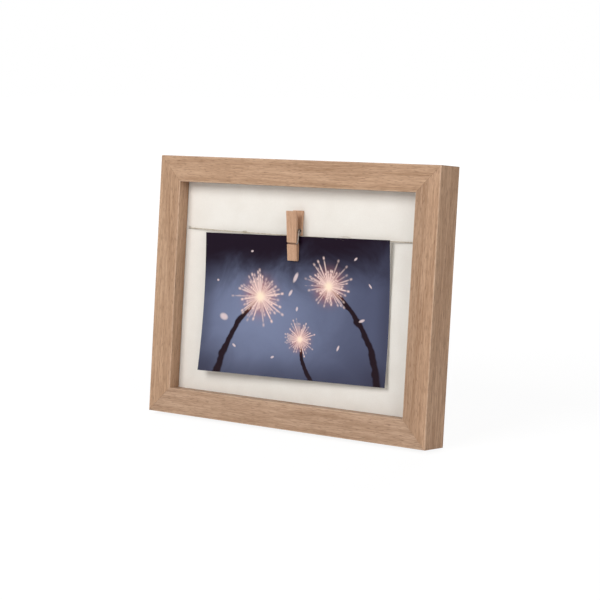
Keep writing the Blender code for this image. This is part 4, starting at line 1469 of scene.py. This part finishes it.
@dataclass
class HangingPrint:
    """The print in the peg's jaws, with its picture, its paper edges and its paper back."""

    width: float = 0.1522
    height: float = 0.0965072
    thick: float = 0.0003
    turn: float = math.radians(-1.1)
    rise: float = 0.0016
    twist: float = 0.005
    curl: float = 0.0024696
    top_depth: float = 0.0063108
    top_height: float = 0.1308072
    columns: int = 76
    rows: int = 50
    sharp_angle: float = math.radians(40)

    def depth_at(self, across_share: float, down_share: float) -> float:
        """How far back the paper lies at a place on it, from its top middle."""
        hollow = 4 * self.curl * down_share * (1 - down_share)
        return hollow - self.rise * down_share + self.twist * across_share * down_share

    def grid(self, shape: bmesh.types.BMesh, face_side: float) -> list[list[bmesh.types.BMVert]]:
        """One face's points, row by row from the top.

        Args:
            shape: Where to add them.
            face_side: Minus a half for the front, plus a half for the back.

        Returns:
            The rows of points.
        """
        turned = Matrix.Rotation(self.turn, 3, "Y")
        grid = []
        for row in range(self.rows + 1):
            line = []
            for column in range(self.columns + 1):
                across = column / self.columns - 0.5
                down = row / self.rows
                depth = self.depth_at(across, down) + face_side * self.thick
                local = turned @ Vector((across * self.width, depth, -down * self.height))
                spot = leaned(local.x, self.top_depth + local.y, self.top_height + local.z)
                line.append(shape.verts.new(spot))
            grid.append(line)
        return grid

    def rim(self) -> list[tuple[int, int]]:
        """Go round the edge.

        Returns:
            The row and column of each point on it, in order.
        """
        rim = [(0, column) for column in range(self.columns)]
        rim += [(row, self.columns) for row in range(self.rows)]
        rim += [(self.rows, column) for column in range(self.columns, 0, -1)]
        return rim + [(row, 0) for row in range(self.rows, 0, -1)]

    def build(self) -> None:
        """Make the sheet with its picture on the front."""
        shape = bmesh.new()
        picture = shape.loops.layers.uv.new("picture")
        front = self.grid(shape, -0.5)
        back = self.grid(shape, 0.5)
        spots = {}
        for row, column in itertools.product(range(self.rows + 1), range(self.columns + 1)):
            spot = (column / self.columns, 1 - row / self.rows)
            spots[front[row][column]] = spots[back[row][column]] = spot
        for row, column in itertools.product(range(self.rows), range(self.columns)):
            below = row + 1
            beside = column + 1
            near = (front[row][column], front[below][column], front[below][beside], front[row][beside])
            far = (back[row][column], back[row][beside], back[below][beside], back[below][column])
            shape.faces.new(near).material_index = 0
            shape.faces.new(far).material_index = 1
        rim = self.rim()
        for (row, column), (next_row, next_column) in zip(rim, rim[1:] + rim[:1]):
            edge = (front[row][column], front[next_row][next_column],
                    back[next_row][next_column], back[row][column])
            shape.faces.new(edge).material_index = 1
        for face in shape.faces:
            for loop in face.loops:
                loop[picture].uv = spots[loop.vert]
        bmesh.ops.recalc_face_normals(shape, faces=shape.faces)
        mesh = bpy.data.meshes.new("hanging_print")
        shape.to_mesh(mesh)
        shape.free()
        mesh.shade_smooth()
        mesh.set_sharp_from_angle(angle=self.sharp_angle)
        sheet = add_piece("hanging_print", mesh, [PictureFinish().material(), PAPER_BACK.material()])
        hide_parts("photo_print")
        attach(sheet, "print")


@dataclass(frozen=True)
class Lamp:
    """One soft square lamp that faces the object."""

    name: str
    watts: float
    size: float
    place: tuple[float, float, float]
    aim: tuple[float, float, float] = (0.0, 0.0, 0.09)

    def build(self) -> None:
        """Hang the lamp."""
        data = bpy.data.lights.new(self.name, "AREA")
        data.energy = self.watts
        data.size = self.size
        lamp = bpy.data.objects.new(self.name, data)
        bpy.context.scene.collection.objects.link(lamp)
        lamp.location = self.place
        towards = Vector(self.aim) - Vector(self.place)
        lamp.rotation_euler = towards.to_track_quat("-Z", "Y").to_euler()


@dataclass
class Studio:
    """The camera at the photograph's angle, a pale floor and soft light."""

    eye: tuple[float, float, float] = (0.66868, -0.94262, 0.25838)
    # the camera's own right, up and backward directions, as the columns of its turn
    turn: tuple[tuple[float, float, float], ...] = (
        (0.815175, -0.0762734, 0.5741708),
        (0.5791149, 0.1257391, -0.8054909),
        (-0.0107582, 0.9891269, 0.1466705),
    )
    lens: float = 102.529
    sensor: float = 36.0
    clip: tuple[float, float] = (0.01, 50.0)
    ambient: float = 0.1
    floor_half: float = 6.0
    floor_drop: float = 0.0002
    floor_tones: tuple[Colour, Colour] = (tone(246, 246, 247), tone(250, 250, 250))
    floor_mottle: float = 3.0
    floor_roughness: float = 0.9
    floor_specular: float = 0.1
    glow: float = 1.07
    near_share: float = 0.85
    fade: tuple[float, float] = (0.25, 1.1)
    lamps: tuple[Lamp, ...] = (
        Lamp("key", 17.3, 0.9, (-0.3, -1.3, 1.0)),
        Lamp("fill", 10.3, 1.0, (1.5, -0.7, 0.7)),
        Lamp("back", 14.0, 1.2, (-0.7, 1.5, 0.9)),
    )

    def camera(self) -> None:
        """Set the camera."""
        data = bpy.data.cameras.new("camera")
        data.lens = self.lens
        data.sensor_width = self.sensor
        data.clip_start, data.clip_end = self.clip
        camera = bpy.data.objects.new("camera", data)
        bpy.context.scene.collection.objects.link(camera)
        camera.matrix_world = Matrix.Translation(self.eye) @ Matrix(self.turn).to_4x4()
        bpy.context.scene.camera = camera

    def seen_ray(self, bench: NodeBench) -> Socket:
        """Find the rays that show the background, straight, in a reflection or through glass.

        Args:
            bench: Where to add nodes.

        Returns:
            One for such rays and nought for the rest.
        """
        rays = bench.node("ShaderNodeLightPath").outputs
        seen = bench.most(rays["Is Camera Ray"], rays["Is Glossy Ray"])
        return bench.most(seen, rays["Is Transmission Ray"])

    def world(self) -> None:
        """A white surround that lights softly."""
        world = bpy.data.worlds.new("studio")
        world.use_nodes = True
        bpy.context.scene.world = world
        bench = NodeBench(world.node_tree)
        background = world.node_tree.nodes["Background"]
        bench.feed(background.inputs["Color"], (1, 1, 1, 1))
        shown = bench.times(self.seen_ray(bench), 1 - self.ambient)
        bench.feed(background.inputs["Strength"], bench.plus(shown, self.ambient))

    def floor(self) -> None:
        """A pale floor that keeps the object's shadow and fades to white away from it."""
        shape = bmesh.new()
        bmesh.ops.create_grid(shape, x_segments=8, y_segments=8, size=self.floor_half)
        mesh = bpy.data.meshes.new("floor")
        shape.to_mesh(mesh)
        shape.free()
        material, bench, shader = blank_material("pale_floor")
        place = bench.node("ShaderNodeTexCoord").outputs["Object"]
        faint = bench.noise(place, self.floor_mottle, detail=2.0)
        bench.feed(shader.inputs["Base Color"], bench.mix(faint, *self.floor_tones))
        shader.inputs["Roughness"].default_value = self.floor_roughness
        shader.inputs["Specular IOR Level"].default_value = self.floor_specular
        glow = bench.node("ShaderNodeEmission")
        glow.inputs["Color"].default_value = (1, 1, 1, 1)
        glow.inputs["Strength"].default_value = self.glow
        far_share = bench.ramp(bench.span(place), *self.fade, self.near_share, 1.0)
        blend = bench.node("ShaderNodeMixShader")
        bench.feed(blend.inputs[0], bench.times(far_share, self.seen_ray(bench)))
        bench.feed(blend.inputs[1], shader.outputs[0])
        bench.feed(blend.inputs[2], glow.outputs[0])
        bench.feed(material.node_tree.nodes["Material Output"].inputs["Surface"], blend.outputs[0])
        floor = add_piece("floor", mesh, [material])
        floor.location.z = -self.floor_drop

    def build(self) -> None:
        """Set up the whole studio."""
        self.camera()
        self.world()
        self.floor()
        for lamp in self.lamps:
            lamp.build()
        bpy.context.scene.view_settings.view_transform = "Standard"


def main() -> None:
    """Build the studio and every sub-assembly."""
    logging.basicConfig(level=logging.INFO, format="%(name)s %(message)s")
    Studio().build()
    TwineLine().build()
    Moulding().dress()
    Backing().dress()
    Peg().build()
    HangingPrint().build()


if __name__ == "__main__":
    main()
